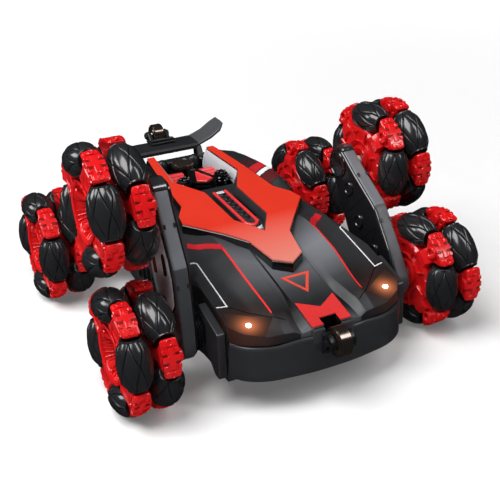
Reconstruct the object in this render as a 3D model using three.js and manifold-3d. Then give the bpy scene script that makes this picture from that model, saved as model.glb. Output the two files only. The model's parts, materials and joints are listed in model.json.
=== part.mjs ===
// Six-wheeled radio-controlled stunt car, in millimetres: +X is the car's left, -Y its front, +Z up.
// The ground is z = 0 and the model's box is centred on x = 0 and y = 0.

import * as THREE from 'three';
import { mergeVertices } from 'three/addons/utils/BufferGeometryUtils.js';
import Module from 'manifold-3d';

const wasm = await Module();
wasm.setup();

// ---- driving dimensions -------------------------------------------------------------------------

const gap = 0.3;                 // clearance between neighbouring pieces

const wheelRadius = 37.5;
const track = 202;               // between the wheels' centre planes
const wheelbase = 151;
const frontAxleY = -76.5;
const rearAxleY = frontAxleY + wheelbase;

const rowOffset = 9;             // each roller row's distance from the wheel's centre plane
const rollerCircle = 27.4;       // radius on which the rollers' centres lie
const rollerHalfLength = 13.3;
const rollersPerRow = 4;

const armLength = 81;            // between the two wheel axles of a swing arm
const armInnerX = 67.5;
const armOuterX = 77;
const armSplitX = 72.25;
const leftArmRest = 45;          // degrees above the rearward horizontal
const rightArmRest = 73;

const gearModule = 1.36;
const gearTeeth = [12, 15, 18, 15, 12];
const firstIdlerPerp = 1.2;      // how far the outer idlers lie off the arm's centre line
const gearStart = 70.1;
const gearEnd = 74.4;

const shaftRadius = 3;
const pivotRadius = 9;
const rollerAxleRadius = 2;

const bodyWall = 2;
const trayFloorZ = 17;
const trayTopZ = 49.7;
const hoodSideZ = 50;

// ---- colours and finishes -----------------------------------------------------------------------

const bumpRollerWidth = 8.4;
const frontRoller = { y: frontAxleY - 55, z: 42, radius: 9 };
const rearRoller = { y: frontAxleY + 209.2, z: 80, radius: 8 };

const finish = (color, roughness, metalness = 0) =>
  new THREE.MeshStandardMaterial({ color, roughness, metalness });

const finishes = {
  hood: finish(0x3a3d42, 0.35),
  redPanel: finish(0xe83a28, 0.4),
  redWheel: finish(0xd81e24, 0.25),
  rollerRubber: finish(0x1e2022, 0.45),
  armGrey: finish(0x565b63, 0.35),
  armSmoke: finish(0x141518, 0.15),
  blackPlastic: finish(0x1a1b1d, 0.4),
  bumper: finish(0x2b2d31, 0.35),
  lens: finish(0xff9a5a, 0.1),
  steel: finish(0xb4b8bd, 0.3, 1),
  gearNylon: finish(0xe6e2d6, 0.5),
  bumpRoller: finish(0x35281f, 0.25),
  battery: finish(0x2b5fa8, 0.5),
  board: finish(0x1f6b3a, 0.6),
};

// ---- geometry helpers ---------------------------------------------------------------------------

function signedVolume(geometry) {
  const position = geometry.getAttribute('position');
  const index = geometry.index.array;
  const [a, b, c] = [new THREE.Vector3(), new THREE.Vector3(), new THREE.Vector3()];
  let total = 0;
  for (let i = 0; i < index.length; i += 3) {
    a.fromBufferAttribute(position, index[i]);
    b.fromBufferAttribute(position, index[i + 1]);
    c.fromBufferAttribute(position, index[i + 2]);
    total += a.dot(b.cross(c));
  }
  return total / 6;
}

// A closed three.js geometry becomes a solid, whichever way its faces were wound.
function solid(source) {
  const bare = source.clone();
  bare.deleteAttribute('normal');
  bare.deleteAttribute('uv');
  const merged = mergeVertices(bare, 1e-4);
  const faces = [];
  const index = merged.index.array;
  for (let i = 0; i < index.length; i += 3) {
    const [a, b, c] = [index[i], index[i + 1], index[i + 2]];
    if (a !== b && b !== c && c !== a) faces.push(a, b, c);
  }
  merged.setIndex(faces);
  if (signedVolume(merged) < 0) faces.reverse();
  return new wasm.Manifold(new wasm.Mesh({
    numProp: 3,
    vertProperties: new Float32Array(merged.getAttribute('position').array),
    triVerts: new Uint32Array(faces),
  }));
}

function toGeometry(body) {
  const mesh = body.getMesh();
  const geometry = new THREE.BufferGeometry();
  geometry.setAttribute('position', new THREE.BufferAttribute(new Float32Array(mesh.vertProperties), 3));
  geometry.setIndex(new THREE.BufferAttribute(new Uint32Array(mesh.triVerts), 1));
  geometry.computeVertexNormals();
  return geometry;
}

const join = (...bodies) => bodies.reduce((whole, body) => whole.add(body));
const cut = (body, ...tools) => tools.reduce((whole, tool) => whole.subtract(tool), body);
const common = (...bodies) => bodies.reduce((whole, body) => whole.intersect(body));

const axisX = new THREE.Vector3(1, 0, 0);
const axisY = new THREE.Vector3(0, 1, 0);
const axisZ = new THREE.Vector3(0, 0, 1);
const toX = new THREE.Matrix4().makeBasis(axisY, axisZ, axisX);
const toY = new THREE.Matrix4().makeBasis(axisX, axisZ, axisY.clone().negate());

function extruded(points, depth) {
  const shape = new THREE.Shape(points.map(([u, v]) => new THREE.Vector2(u, v)));
  return new THREE.ExtrudeGeometry(shape, { depth, bevelEnabled: false });
}

// Prisms: an outline in (y, z), (x, z) or (x, y), swept along the remaining axis.
function prismX(points, x0, x1) {
  return solid(extruded(points, x1 - x0).applyMatrix4(toX).translate(x0, 0, 0));
}

function prismY(points, y0, y1) {
  return solid(extruded(points, y1 - y0).applyMatrix4(toY).translate(0, y1, 0));
}

function prismZ(points, z0, z1) {
  return solid(extruded(points, z1 - z0).translate(0, 0, z0));
}

function box([x0, x1], [y0, y1], [z0, z1]) {
  const geometry = new THREE.BoxGeometry(x1 - x0, y1 - y0, z1 - z0);
  return solid(geometry.translate((x0 + x1) / 2, (y0 + y1) / 2, (z0 + z1) / 2));
}

function rodX(radius, x0, x1, y = 0, z = 0, sides = 16) {
  const geometry = new THREE.CylinderGeometry(radius, radius, x1 - x0, sides);
  return solid(geometry.rotateZ(Math.PI / 2).translate((x0 + x1) / 2, y, z));
}

function rodZ(radius, z0, z1, x = 0, y = 0, sides = 16) {
  const geometry = new THREE.CylinderGeometry(radius, radius, z1 - z0, sides);
  return solid(geometry.rotateX(Math.PI / 2).translate(x, y, (z0 + z1) / 2));
}

// The [low, high] x range of a span given for the left side, on the side asked for.
const onSide = (side, x0, x1) => (side > 0 ? [x0, x1] : [-x1, -x0]);

// Half an outline, from front to back, mirrored in the centre plane.
function bothSides(half) {
  const other = half.map(([x, y]) => [-x, y]).filter(([x]) => x !== 0).reverse();
  return [...half, ...other];
}

const group = new THREE.Group();

function place(name, body, material, parent = group) {
  const mesh = new THREE.Mesh(toGeometry(body), material);
  mesh.name = name;
  parent.add(mesh);
  return mesh;
}

// ---- hood and roof ------------------------------------------------------------------------------

// Distances from the front axle, with heights above the ground.
const alongCar = (points) => points.map(([y, z]) => [frontAxleY + y, z]);
const planOf = (half) => bothSides(half.map(([x, y]) => [x, frontAxleY + y]));

const hoodTop = [[-47.5, 49], [-28, 54.2], [-2, 60.3], [25, 66.3], [60, 68.5], [110, 71.5], [152, 73],
  [172, 70], [190, 66]];
const hoodHalfPlan = [[0, -47.5], [12, -47.5], [39, -44], [51, -37.5], [56.5, -29.5], [57, 4], [60, 25],
  [60, 48], [50, 78], [48, 168], [42, 190], [0, 190]];
const hoodInnerHalfPlan = [[0, -45.2], [12, -45.2], [38, -41.8], [49, -36], [54.2, -28.5], [54.8, 4],
  [57.8, 25], [57.8, 47], [47.8, 77], [45.8, 167], [40.5, 187.5], [0, 187.5]];
const hoodSection = [[-60, 40], [60, 40], [60, 57], [57, 62], [47, 69.5], [38, 80], [-38, 80],
  [-47, 69.5], [-57, 62], [-60, 57]];

// The band between two heights above the hood's top line.
function hoodBand(low, high) {
  const upper = hoodTop.map(([y, z]) => [y, z + high]);
  const lower = hoodTop.map(([y, z]) => [y, z + low]).reverse();
  return prismX(alongCar([...upper, ...lower]), -70, 70);
}

// A piece with the given plan outline that follows the hood's top line.
function overHood(half, low, high) {
  return common(prismZ(planOf(half), 0, 120), hoodBand(low, high));
}

const rollerSlot = box([-5.4, 5.4], [frontAxleY - 65, frontAxleY - 41.5], [31, 70]);

const lensHalfPlan = [[40.5, -39.5], [50.5, -34], [53, -27], [37.5, -29.5]];
const lensPlan = (side, grow) => {
  const centre = [45.4, -32.5];
  return lensHalfPlan.map(([x, y]) => [
    side * (centre[0] + (x - centre[0]) * grow),
    frontAxleY + centre[1] + (y - centre[1]) * grow,
  ]);
};

function hoodShell() {
  const bottom = [[190, hoodSideZ], [-29.2, hoodSideZ], [-29.2, 44], [-47.5, 44]];
  const outer = common(
    prismZ(planOf(hoodHalfPlan), 40, 90),
    prismX(alongCar([...hoodTop, ...bottom]), -70, 70),
    prismY(hoodSection, frontAxleY - 60, frontAxleY + 200),
  );
  const innerTop = hoodTop.map(([y, z]) => [y, z - bodyWall]);
  const inner = common(
    prismZ(planOf(hoodInnerHalfPlan), 30, 90),
    prismX(alongCar([...innerTop, [190, 30], [-47.5, 30]]), -70, 70),
    prismY(hoodSection.map(([x, z]) => [x * 0.965, z - bodyWall * 1.2]), frontAxleY - 60,
      frontAxleY + 200),
  );
  const wellX = [-20, 20];
  const wellY = [frontAxleY + 112, frontAxleY + 174];
  const wellWall = box([wellX[0] - bodyWall, wellX[1] + bodyWall],
    [wellY[0] - bodyWall, wellY[1] + bodyWall], [64, 69]);
  const well = box(wellX, wellY, [66, 90]);
  const lenses = [1, -1].map((side) => common(prismZ(lensPlan(side, 1.07), 0, 120),
    hoodBand(-1.2, 9)));
  return cut(join(cut(outer, inner), wellWall), well, rollerSlot, ...lenses);
}

const roofHalfPlan = [[0, -2.6], [10, 4.4], [14.4, 27], [42.3, 62], [40.5, 72], [33.5, 84], [31, 120],
  [26, 163], [20.5, 163], [24.5, 119], [11.7, 95], [11.6, 52], [0, 32.5]];
const roofTop = [[-10, 66.5], [40, 74.4], [170, 81.8]];
const roofSheet = 1.8;

// The part of the roof outline between two side profiles; its rear is open for the engine bay.
function roofPiece(profile) {
  return common(prismZ(planOf(roofHalfPlan), 40, 100), prismX(alongCar(profile), -70, 70));
}

const roofPanel = () => roofPiece([
  ...roofTop, ...roofTop.map(([y, z]) => [y, z - roofSheet]).reverse(),
]);

const roofBase = () => cut(
  roofPiece([...roofTop.map(([y, z]) => [y, z - roofSheet - gap]), [170, 50], [-10, 50]]),
  prismX(alongCar([...hoodTop.map(([y, z]) => [y, z + gap]), [190, 40], [-47.5, 40]]), -70, 70),
);

function nosePanel() {
  const plate = overHood([[0, -34], [12.5, -26.5], [12.7, -46.8], [0, -46.8]], gap, 1.9);
  return cut(plate, rollerSlot);
}

function lightStrip() {
  const frameHalfPlan = [[0, 45], [2.5, 45], [5.2, 50], [5.2, 98], [0, 98]];
  const strip = overHood(frameHalfPlan, gap, 4);
  const slots = [];
  for (let i = 0; i < 6; i += 1) {
    const y = frontAxleY + 53 + i * 7.4;
    slots.push(box([-3, 3], [y, y + 4.6], [60, 90]));
  }
  return cut(strip, ...slots);
}

function engineCover() {
  const y = frontAxleY + 129;
  const hex = (w, d) => [[0, y - d], [w * 0.6, y - d * 0.9], [w, y - d * 0.2], [w * 0.7, y + d], [0, y + d]];
  const base = prismZ(bothSides(hex(15, 11)), 66 + gap, 71);
  const crown = prismZ(bothSides(hex(11, 8)), 70, 74.6);
  const posts = [-15.5, 15.5].map((x) => rodZ(3.4, 66 + gap, 76, x, y + 1, 10));
  return join(base, crown, ...posts);
}

const fuelCap = () => join(
  rodZ(8, 66 + gap, 72, 0, frontAxleY + 163, 20),
  rodZ(7.2, 71, 74, 0, frontAxleY + 163, 20),
);

const headlight = (side) => common(prismZ(lensPlan(side, 1), 0, 120), hoodBand(-0.9, 0.9));

place('hood_shell', hoodShell(), finishes.hood);
place('roof_base', roofBase(), finishes.blackPlastic);
place('roof_panel', roofPanel(), finishes.redPanel);
place('nose_panel', nosePanel(), finishes.redPanel);
place('light_strip', lightStrip(), finishes.redPanel);
place('engine_cover', engineCover(), finishes.blackPlastic);
place('fuel_cap', fuelCap(), finishes.blackPlastic);
place('left_headlight', headlight(1), finishes.lens);
place('right_headlight', headlight(-1), finishes.lens);

// ---- bumper, fins and spoiler -------------------------------------------------------------------

function bumper() {
  const outer = [[0, -50.5], [13, -50.5], [40, -46.8], [52.5, -39.5], [57, -31]];
  const inner = [[54, -30], [50, -37.5], [38.5, -44], [12, -47.8], [0, -47.8]];
  const fascia = prismZ(planOf([...outer, ...inner]), 23, 43.7);
  const lipOuter = [[0, -49.3], [13, -49.3], [40, -45.8], [51.5, -38.5], [55.5, -30.5]];
  const lipInner = [[50, -29.5], [46, -36], [36, -40], [0, -43]];
  const lip = prismZ(planOf([...lipOuter, ...lipInner]), 20.5, 24);
  return cut(join(fascia, lip), box([-5.4, 5.4], [frontAxleY - 65, frontAxleY - 41.5], [31, 70]));
}

const finOutline = [[-28.5, 49.2], [-3, 57], [-3, 53], [-12.5, 47], [-12.5, 31], [-24, 20.5],
  [-29.5, 20.5]];
const fin = (side) => prismX(alongCar(finOutline), ...onSide(side, 57.4, 62.6));

const bladeZ = 76;
const bladeY = [frontAxleY + 187, frontAxleY + 207];

function spoiler() {
  const sheet = 3;
  const upper = [[0, bladeZ], [25, bladeZ], [36, bladeZ + 4.5], [47, bladeZ + 14]];
  const lower = upper.map(([x, z]) => [x, z - sheet]).reverse();
  const blade = prismY(bothSides([...upper, ...lower]), ...bladeY);
  const tipCorner = (side) => prismZ([
    [side * 41, bladeY[0] - 1], [side * 48, bladeY[0] - 1], [side * 48, bladeY[0] + 6],
  ], 60, 100);
  const strutSide = alongCar([[178, 69.2], [186, 67.4], [194, bladeZ - 2], [187.5, bladeZ - 2]]);
  const struts = [1, -1].map((side) => prismX(strutSide, ...onSide(side, 24, 27)));
  const notch = rodX(rearRoller.radius + 0.6, -5.4, 5.4, rearRoller.y, rearRoller.z, 18);
  return join(cut(blade, tipCorner(1), tipCorner(-1), notch), ...struts);
}

place('front_bumper', bumper(), finishes.bumper);
place('left_fin', fin(1), finishes.bumper);
place('right_fin', fin(-1), finishes.bumper);
place('spoiler', spoiler(), finishes.blackPlastic);

// ---- anti-roll rollers --------------------------------------------------------------------------


function bumpRoller({ y, z, radius }) {
  return join(
    rodX(radius, -bumpRollerWidth / 2, bumpRollerWidth / 2, y, z, 18),
    rodX(rollerAxleRadius, -8.4, 8.4, y, z, 10),
  );
}

// The two ears either side of a roller, before the axle's bore is cut.
function rollerEars({ z }, y0, y1, height) {
  return [1, -1].map((side) => box(onSide(side, 5.2, 8), [y0, y1], [z - height / 2, z + height / 2]));
}

const axleBore = ({ y, z }) => rodX(rollerAxleRadius + 0.35, -12, 12, y, z, 10);
const rollerRoom = ({ y, z, radius }) => rodX(radius + 0.6, -5.2, 5.2, y, z, 18);

function frontBracket() {
  const { y } = frontRoller;
  const plate = box([-9.5, 9.5], [frontAxleY - 53, frontAxleY - 50.5 - gap], [29, 47]);
  const ears = rollerEars(frontRoller, y - 3.6, frontAxleY - 52, 8);
  return cut(join(plate, ...ears), rollerRoom(frontRoller), axleBore(frontRoller));
}

function rearBracket() {
  const { y } = rearRoller;
  const plate = box([-9.5, 9.5], [bladeY[1] - 11, bladeY[1] - 1.2], [bladeZ + gap, bladeZ + 2.4]);
  const ears = rollerEars(rearRoller, bladeY[1] - 7, y + 3.6, 7.2);
  return cut(join(plate, ...ears), rollerRoom(rearRoller), axleBore(rearRoller));
}

place('front_roller', bumpRoller(frontRoller), finishes.bumpRoller);
place('front_roller_bracket', frontBracket(), finishes.blackPlastic);
place('rear_roller', bumpRoller(rearRoller), finishes.bumpRoller);
place('rear_roller_bracket', rearBracket(), finishes.blackPlastic);

// ---- chassis and what it holds ------------------------------------------------------------------

const axleZ = wheelRadius;
const batteryBay = { x: [-21, 21], y: [frontAxleY + 58, frontAxleY + 122] };
const switchSlot = { x: [-33, -27], y: [frontAxleY + 80, frontAxleY + 92] };

function chassisTray() {
  const outer = prismZ(planOf([[0, -42], [38, -40], [56.6, -28.6], [57, 4], [60, 25], [60, 110],
    [56, 186], [0, 186]]), trayFloorZ, trayTopZ);
  // The nose ahead of the gearboxes is solid, to take knocks from the front roller.
  const inner = prismZ(planOf([[0, -28], [53.5, -28], [54.8, 4], [57.5, 25], [57.5, 109],
    [53.6, 183.5], [0, 183.5]]), trayFloorZ + 2.5, trayTopZ + 10);
  const bumperRoom = prismZ(planOf([[0, -60], [60, -60], [60, -28], [0, -28]]), 36, 60);
  const lipRoom = prismZ(planOf([[0, -60], [60, -60], [60, -28.5], [49, -28.5], [45, -35],
    [35, -39], [0, -41.5]]), 10, 60);
  const bay = box(batteryBay.x, batteryBay.y, [0, 30]);
  const slot = box(switchSlot.x, switchSlot.y, [0, 30]);
  const pivots = rodX(pivotRadius + 0.4, -70, 70, frontAxleY, axleZ, 16);
  const rearPorts = box([-70, 70], [rearAxleY - 13.4, rearAxleY + 13.4], [24.1, 60]);
  // The floor sweeps up behind the rear axle.
  const sweptTail = (lift) => prismX(alongCar([[150, 0], [200, 0], [200, 40 + lift],
    [150, trayFloorZ + lift]]), -70, 70);
  const shell = cut(outer, cut(inner, sweptTail(2.6)), sweptTail(0));
  return cut(shell, bumperRoom, lipRoom, bay, slot, pivots, rearPorts);
}

const batteryDoor = () => join(
  box([batteryBay.x[0] + gap, batteryBay.x[1] - gap], [batteryBay.y[0] + gap, batteryBay.y[1] - gap],
    [trayFloorZ, trayFloorZ + 2]),
);

function powerSwitch() {
  const [x, y] = [-30, switchSlot.y[0] + 3.3];
  return join(
    box([x - 2.4, x + 2.4], [y - 2.6, y + 2.6], [trayFloorZ - 1.2, trayFloorZ + 3]),
    box([x - 4.5, x + 4.5], [y - 9, y + 9], [trayFloorZ + 2.5 + gap, trayFloorZ + 4.4]),
  );
}

function circuitBoard() {
  const y = frontAxleY;
  const board = box([-22, 22], [y - 22, y + 42], [46, 47.6]);
  const chips = [[-9, -6, 8], [8, 16, 10], [-10, 26, 6]].map(([x, along, size]) =>
    box([x - size / 2, x + size / 2], [y + along - size / 2, y + along + size / 2], [47, 50]));
  return join(board, ...chips);
}

// Housing with its motor can; the arm's pivot turns in its bore.
function armGearbox(side) {
  const [y, z] = [frontAxleY, axleZ];
  const housing = box(onSide(side, 26, 54), [y - 14, y + 14], [trayFloorZ + 2.5 + gap, 45]);
  const motor = rodX(10, ...onSide(side, 26, 50), y + 22, 31, 14);
  const bore = rodX(pivotRadius + 0.4, ...onSide(side, 44, 60), y, z, 16);
  return cut(join(housing, motor), bore);
}

function rearGearbox(side) {
  const y = rearAxleY;
  const housing = box(onSide(side, 30, 66), [y - 13, y + 13], [24.5, trayTopZ]);
  const boss = rodX(9, ...onSide(side, 60, 79.5), y, axleZ, 18);
  const motor = rodX(10, ...onSide(side, 30, 54), y - 20, 36, 14);
  const bore = rodX(shaftRadius + 0.35, ...onSide(side, 44, 90), y, axleZ, 12);
  return cut(join(housing, boss, motor), bore);
}

place('chassis_tray', chassisTray(), finishes.bumper);
place('battery_door', batteryDoor(), finishes.blackPlastic);
place('battery_pack', box([-17, 17], [frontAxleY + 61, frontAxleY + 119],
  [trayFloorZ + 2 + gap, 38]), finishes.battery);
place('power_switch', powerSwitch(), finishes.blackPlastic);
place('circuit_board', circuitBoard(), finishes.board);
for (const [name, side] of [['left', 1], ['right', -1]]) {
  place(`${name}_arm_gearbox`, armGearbox(side), finishes.blackPlastic);
  place(`${name}_rear_gearbox`, rearGearbox(side), finishes.bumper);
}

// ---- omni wheels --------------------------------------------------------------------------------

// A wheel's axis is X, with its outer face at +X. Angles run from +Y towards +Z.

const barrelRadius = (t) => Math.sqrt(wheelRadius ** 2 - t ** 2) - rollerCircle;

// Four barrel rollers on their pins, which join end to end inside the hub's bridges.
function rollerRow(offset, phase) {
  const rings = [-1, -0.53, 0, 0.53, 1].map((f) => f * rollerHalfLength);
  const profile = rings.map((t) => new THREE.Vector2(barrelRadius(t), t));
  profile.unshift(new THREE.Vector2(0, rings[0]));
  profile.push(new THREE.Vector2(0, rings[rings.length - 1]));
  const barrel = new THREE.LatheGeometry(profile, 8).rotateX(Math.PI / 2);
  barrel.translate(offset, rollerCircle, 0);
  const pinReach = (rollerCircle - rollerHalfLength) * Math.SQRT2 + 2;
  const pin = new THREE.CylinderGeometry(1.4, 1.4, pinReach, 4).rotateX(Math.PI / 2);
  pin.translate(offset, (rollerCircle + rollerHalfLength) * Math.SQRT1_2, 0);
  pin.rotateX(Math.PI / 4);
  const pieces = [];
  for (let i = 0; i < rollersPerRow; i += 1) {
    const turn = phase + (i * 2 * Math.PI) / rollersPerRow;
    pieces.push(solid(barrel.clone().rotateX(turn)), solid(pin.clone().rotateX(turn)));
  }
  return join(...pieces);
}

// The bridge between two rollers: a web from the core and a head that covers the pins.
function bridge(offset, turn) {
  const half = [[3.6, 12], [3.6, 24.6], [10.3, 30.9], [10.3, 34.2], [0, 36.7]];
  const outline = bothSides([...half].reverse()).map(([v, u]) => [u, v]);
  const body = extruded(outline, 12).applyMatrix4(toX).translate(offset - 6, 0, 0);
  const channel = new THREE.BoxGeometry(3.4, 3.4, 40);
  channel.translate(offset, (rollerCircle + rollerHalfLength) * Math.SQRT1_2, 0);
  return cut(solid(body.rotateX(turn)), solid(channel.rotateX(turn)));
}

function wheelHub() {
  const profile = [[3.4, -18.2], [8.5, -18.2], [16.2, -15.5], [16.2, 15.5], [6.5, 9], [3.4, 9],
    [3.4, -18.2]];
  const core = new THREE.LatheGeometry(profile.map(([r, s]) => new THREE.Vector2(r, s)), 16);
  const pieces = [solid(core.rotateZ(-Math.PI / 2))];
  for (let i = 0; i < rollersPerRow; i += 1) {
    const turn = (i * 2 * Math.PI) / rollersPerRow;
    pieces.push(bridge(rowOffset, turn + Math.PI / 4), bridge(-rowOffset, turn));
  }
  return join(...pieces);
}

const hubGeometry = toGeometry(wheelHub());
const outerRowGeometry = toGeometry(rollerRow(rowOffset, 0));
const innerRowGeometry = toGeometry(rollerRow(-rowOffset, Math.PI / 4));

// One wheel at a place along its axle; its phase is the angle of an outer roller at rest.
function wheel(name, side, y, z, phase, parent = group) {
  const holder = new THREE.Group();
  holder.position.set((side * track) / 2, y, z);
  holder.rotation.set(THREE.MathUtils.degToRad(phase), side > 0 ? 0 : Math.PI, 0);
  parent.add(holder);
  const pieces = [['hub', hubGeometry, finishes.redWheel],
    ['outer_rollers', outerRowGeometry, finishes.rollerRubber],
    ['inner_rollers', innerRowGeometry, finishes.rollerRubber]];
  for (const [piece, geometry, material] of pieces) {
    const mesh = new THREE.Mesh(geometry, material);
    mesh.name = `${name}_wheel_${piece}`;
    holder.add(mesh);
  }
}

const shaftEndX = track / 2 + 8;

// ---- swing arms ---------------------------------------------------------------------------------

// An arm is drawn lying back along +Y from the front axle, and its group turns it to its rest angle.

const armHalf = [[-13.5, 6.5], [-8, 13], [14, 17], [41, 20.5], [68, 13.5], [86, 10], [92, 6]];
const armOutline = [...armHalf, ...armHalf.map(([a, p]) => [a, -p]).reverse()];

// The outline moved inwards by the thickness of the arm's rim.
function inset(points, distance) {
  const count = points.length;
  return points.map((point, i) => {
    const before = points[(i + count - 1) % count];
    const after = points[(i + 1) % count];
    const normal = ([ax, ay], [bx, by]) => {
      const length = Math.hypot(bx - ax, by - ay);
      return [(by - ay) / length, -(bx - ax) / length];
    };
    const [n1, n2] = [normal(before, point), normal(point, after)];
    const scale = distance / (1 + n1[0] * n2[0] + n1[1] * n2[1]);
    return [point[0] + (n1[0] + n2[0]) * scale, point[1] + (n1[1] + n2[1]) * scale];
  });
}

const armCavity = inset(armOutline, 1.1);

const pitchRadius = (teeth) => (gearModule * teeth) / 2;

// Gear centres along and across the arm; the middle idler lies where both neighbours reach it.
function gearCentres() {
  const reach = [0, 1].map((i) => pitchRadius(gearTeeth[i]) + pitchRadius(gearTeeth[i + 1]));
  const firstAlong = Math.sqrt(reach[0] ** 2 - firstIdlerPerp ** 2);
  const step = armLength / 2 - firstAlong;
  const middlePerp = firstIdlerPerp - Math.sqrt(reach[1] ** 2 - step ** 2);
  return [[0, 0], [firstAlong, firstIdlerPerp], [armLength / 2, middlePerp],
    [armLength - firstAlong, firstIdlerPerp], [armLength, 0]];
}

const centres = gearCentres();

// The angle of a tooth of each gear, so that every pair is in mesh.
function gearPhases() {
  const phases = [0];
  const halfPitch = (Math.PI * gearModule) / 2;
  for (let i = 1; i < centres.length; i += 1) {
    const [a, b] = [centres[i - 1], centres[i]];
    const line = Math.atan2(b[1] - a[1], b[0] - a[0]);
    const shift = (phases[i - 1] - line) * pitchRadius(gearTeeth[i - 1]) + halfPitch;
    phases.push(line + Math.PI - shift / pitchRadius(gearTeeth[i]));
  }
  return phases;
}

const phases = gearPhases();

function gearOutline(teeth, phase) {
  const r = pitchRadius(teeth);
  const levels = [[r - 1.6, 1.44], [r + 1.05, 0.42]];    // radius and half tooth thickness there
  const points = [];
  for (let i = 0; i < teeth; i += 1) {
    const middle = phase + (i * 2 * Math.PI) / teeth;
    const corner = ([radius, half], sign) => {
      const angle = middle + (sign * half) / radius;
      return [radius * Math.cos(angle), radius * Math.sin(angle)];
    };
    points.push(corner(levels[0], -1), corner(levels[1], -1), corner(levels[1], 1),
      corner(levels[0], 1));
  }
  return points;
}

function gear(index, side) {
  const [along, perp] = centres[index];
  const outline = gearOutline(gearTeeth[index], phases[index]).map(([a, p]) => [a + along, p + perp]);
  return prismX(outline, ...onSide(side, gearStart, gearEnd));
}

const idlerPinRadius = 1.6;

function idlerGear(index, side) {
  const [along, perp] = centres[index];
  return cut(gear(index, side), rodX(idlerPinRadius + 0.35, ...onSide(side, 66, 78), along, perp, 8));
}

function driveGear(index, side) {
  const [along, perp] = centres[index];
  const start = index === 0 ? 46 : 68.4;
  return join(gear(index, side), rodX(shaftRadius, ...onSide(side, start, shaftEndX), along, perp, 10));
}

function armOuterShell(side) {
  const plateX = 75;
  const body = prismX(armOutline, ...onSide(side, armSplitX + gap / 2, armOuterX));
  const cavity = prismX(armCavity, ...onSide(side, armSplitX - 1, plateX));
  const bores = [centres[0], centres[4]].map(([a, p]) =>
    rodX(shaftRadius + 0.4, ...onSide(side, 70, 90), a, p, 12));
  const pins = centres.slice(1, 4).map(([a, p]) =>
    rodX(idlerPinRadius, ...onSide(side, gearStart - 0.1, plateX + 1), a, p, 8));
  return join(cut(body, cavity, ...bores), ...pins);
}

function armInnerShell(side) {
  const plateX = 69.5;
  const body = prismX(armOutline, ...onSide(side, armInnerX, armSplitX - gap / 2));
  const cavity = prismX(armCavity, ...onSide(side, plateX, armSplitX + 1));
  const pivot = rodX(pivotRadius, ...onSide(side, 45, armInnerX + 1), 0, 0, 16);
  const bosses = [rodX(8, ...onSide(side, 66.3, armInnerX + 0.5), ...centres[4], 12),
    ...centres.slice(1, 4).map((c) => rodX(3.4, ...onSide(side, 66.7, armInnerX + 0.5), ...c, 10))];
  const shaftRoom = rodX(shaftRadius + 0.4, ...onSide(side, 40, 80), 0, 0, 12);
  const endRoom = rodX(shaftRadius + 0.4, ...onSide(side, 68.1, 80), ...centres[4], 12);
  return cut(join(cut(body, cavity), pivot, ...bosses), shaftRoom, endRoom);
}

function swingArm(name, side, restDegrees, upperPhase) {
  const arm = new THREE.Group();
  arm.position.set(0, frontAxleY, axleZ);
  arm.rotation.x = THREE.MathUtils.degToRad(restDegrees);
  group.add(arm);
  place(`${name}_arm_outer_shell`, armOuterShell(side), finishes.armGrey, arm);
  place(`${name}_arm_inner_shell`, armInnerShell(side), finishes.armSmoke, arm);
  place(`${name}_lower_drive_gear`, driveGear(0, side), finishes.gearNylon, arm);
  place(`${name}_lower_idler_gear`, idlerGear(1, side), finishes.gearNylon, arm);
  place(`${name}_middle_idler_gear`, idlerGear(2, side), finishes.gearNylon, arm);
  place(`${name}_upper_idler_gear`, idlerGear(3, side), finishes.gearNylon, arm);
  place(`${name}_upper_drive_gear`, driveGear(4, side), finishes.gearNylon, arm);
  const upper = new THREE.Vector3(0, armLength, 0).applyMatrix4(arm.matrix.compose(
    arm.position, arm.quaternion, arm.scale));
  wheel(`${name}_arm`, side, upper.y, upper.z, upperPhase);
}

swingArm('left', 1, leftArmRest, 45);
swingArm('right', -1, rightArmRest, 71);

wheel('left_front', 1, frontAxleY, axleZ, 44);
wheel('right_front', -1, frontAxleY, axleZ, 74);
wheel('left_rear', 1, rearAxleY, axleZ, 84);
wheel('right_rear', -1, rearAxleY, axleZ, 85);

for (const [name, side] of [['left', 1], ['right', -1]]) {
  place(`${name}_rear_axle`, rodX(shaftRadius, ...onSide(side, 46, shaftEndX), rearAxleY, axleZ, 12),
    finishes.steel);
}

export default group;
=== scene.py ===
import json
import math

import bmesh
import bpy
from mathutils import Matrix, Vector


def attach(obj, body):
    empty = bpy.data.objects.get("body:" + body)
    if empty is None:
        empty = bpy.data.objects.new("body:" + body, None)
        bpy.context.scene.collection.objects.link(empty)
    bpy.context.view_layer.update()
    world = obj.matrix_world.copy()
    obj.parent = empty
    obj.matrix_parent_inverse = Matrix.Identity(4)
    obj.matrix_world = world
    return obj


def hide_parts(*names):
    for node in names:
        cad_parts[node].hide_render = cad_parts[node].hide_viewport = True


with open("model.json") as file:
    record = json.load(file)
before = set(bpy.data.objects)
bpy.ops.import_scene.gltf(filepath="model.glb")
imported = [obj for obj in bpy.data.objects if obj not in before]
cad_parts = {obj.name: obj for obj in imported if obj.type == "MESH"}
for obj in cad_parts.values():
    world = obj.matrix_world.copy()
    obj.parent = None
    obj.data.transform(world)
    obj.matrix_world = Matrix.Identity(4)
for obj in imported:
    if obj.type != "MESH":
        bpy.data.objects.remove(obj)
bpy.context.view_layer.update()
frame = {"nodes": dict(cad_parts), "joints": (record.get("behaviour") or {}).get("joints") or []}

MM = 0.001               # shapes below are in millimetres, and placed in metres
SIDES = (1, -1)          # the car's left and right
joint_at = {j["name"]: Vector(j["pos_m"]) / MM for j in frame["joints"] if "pos_m" in j}
front_axle = joint_at["left_front_wheel_spin"]


def in_scene(name, data):
    """A new object in the scene."""
    obj = bpy.data.objects.new(name, data)
    bpy.context.scene.collection.objects.link(obj)
    return obj


# ---- camera and light ---------------------------------------------------------------------------

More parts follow.
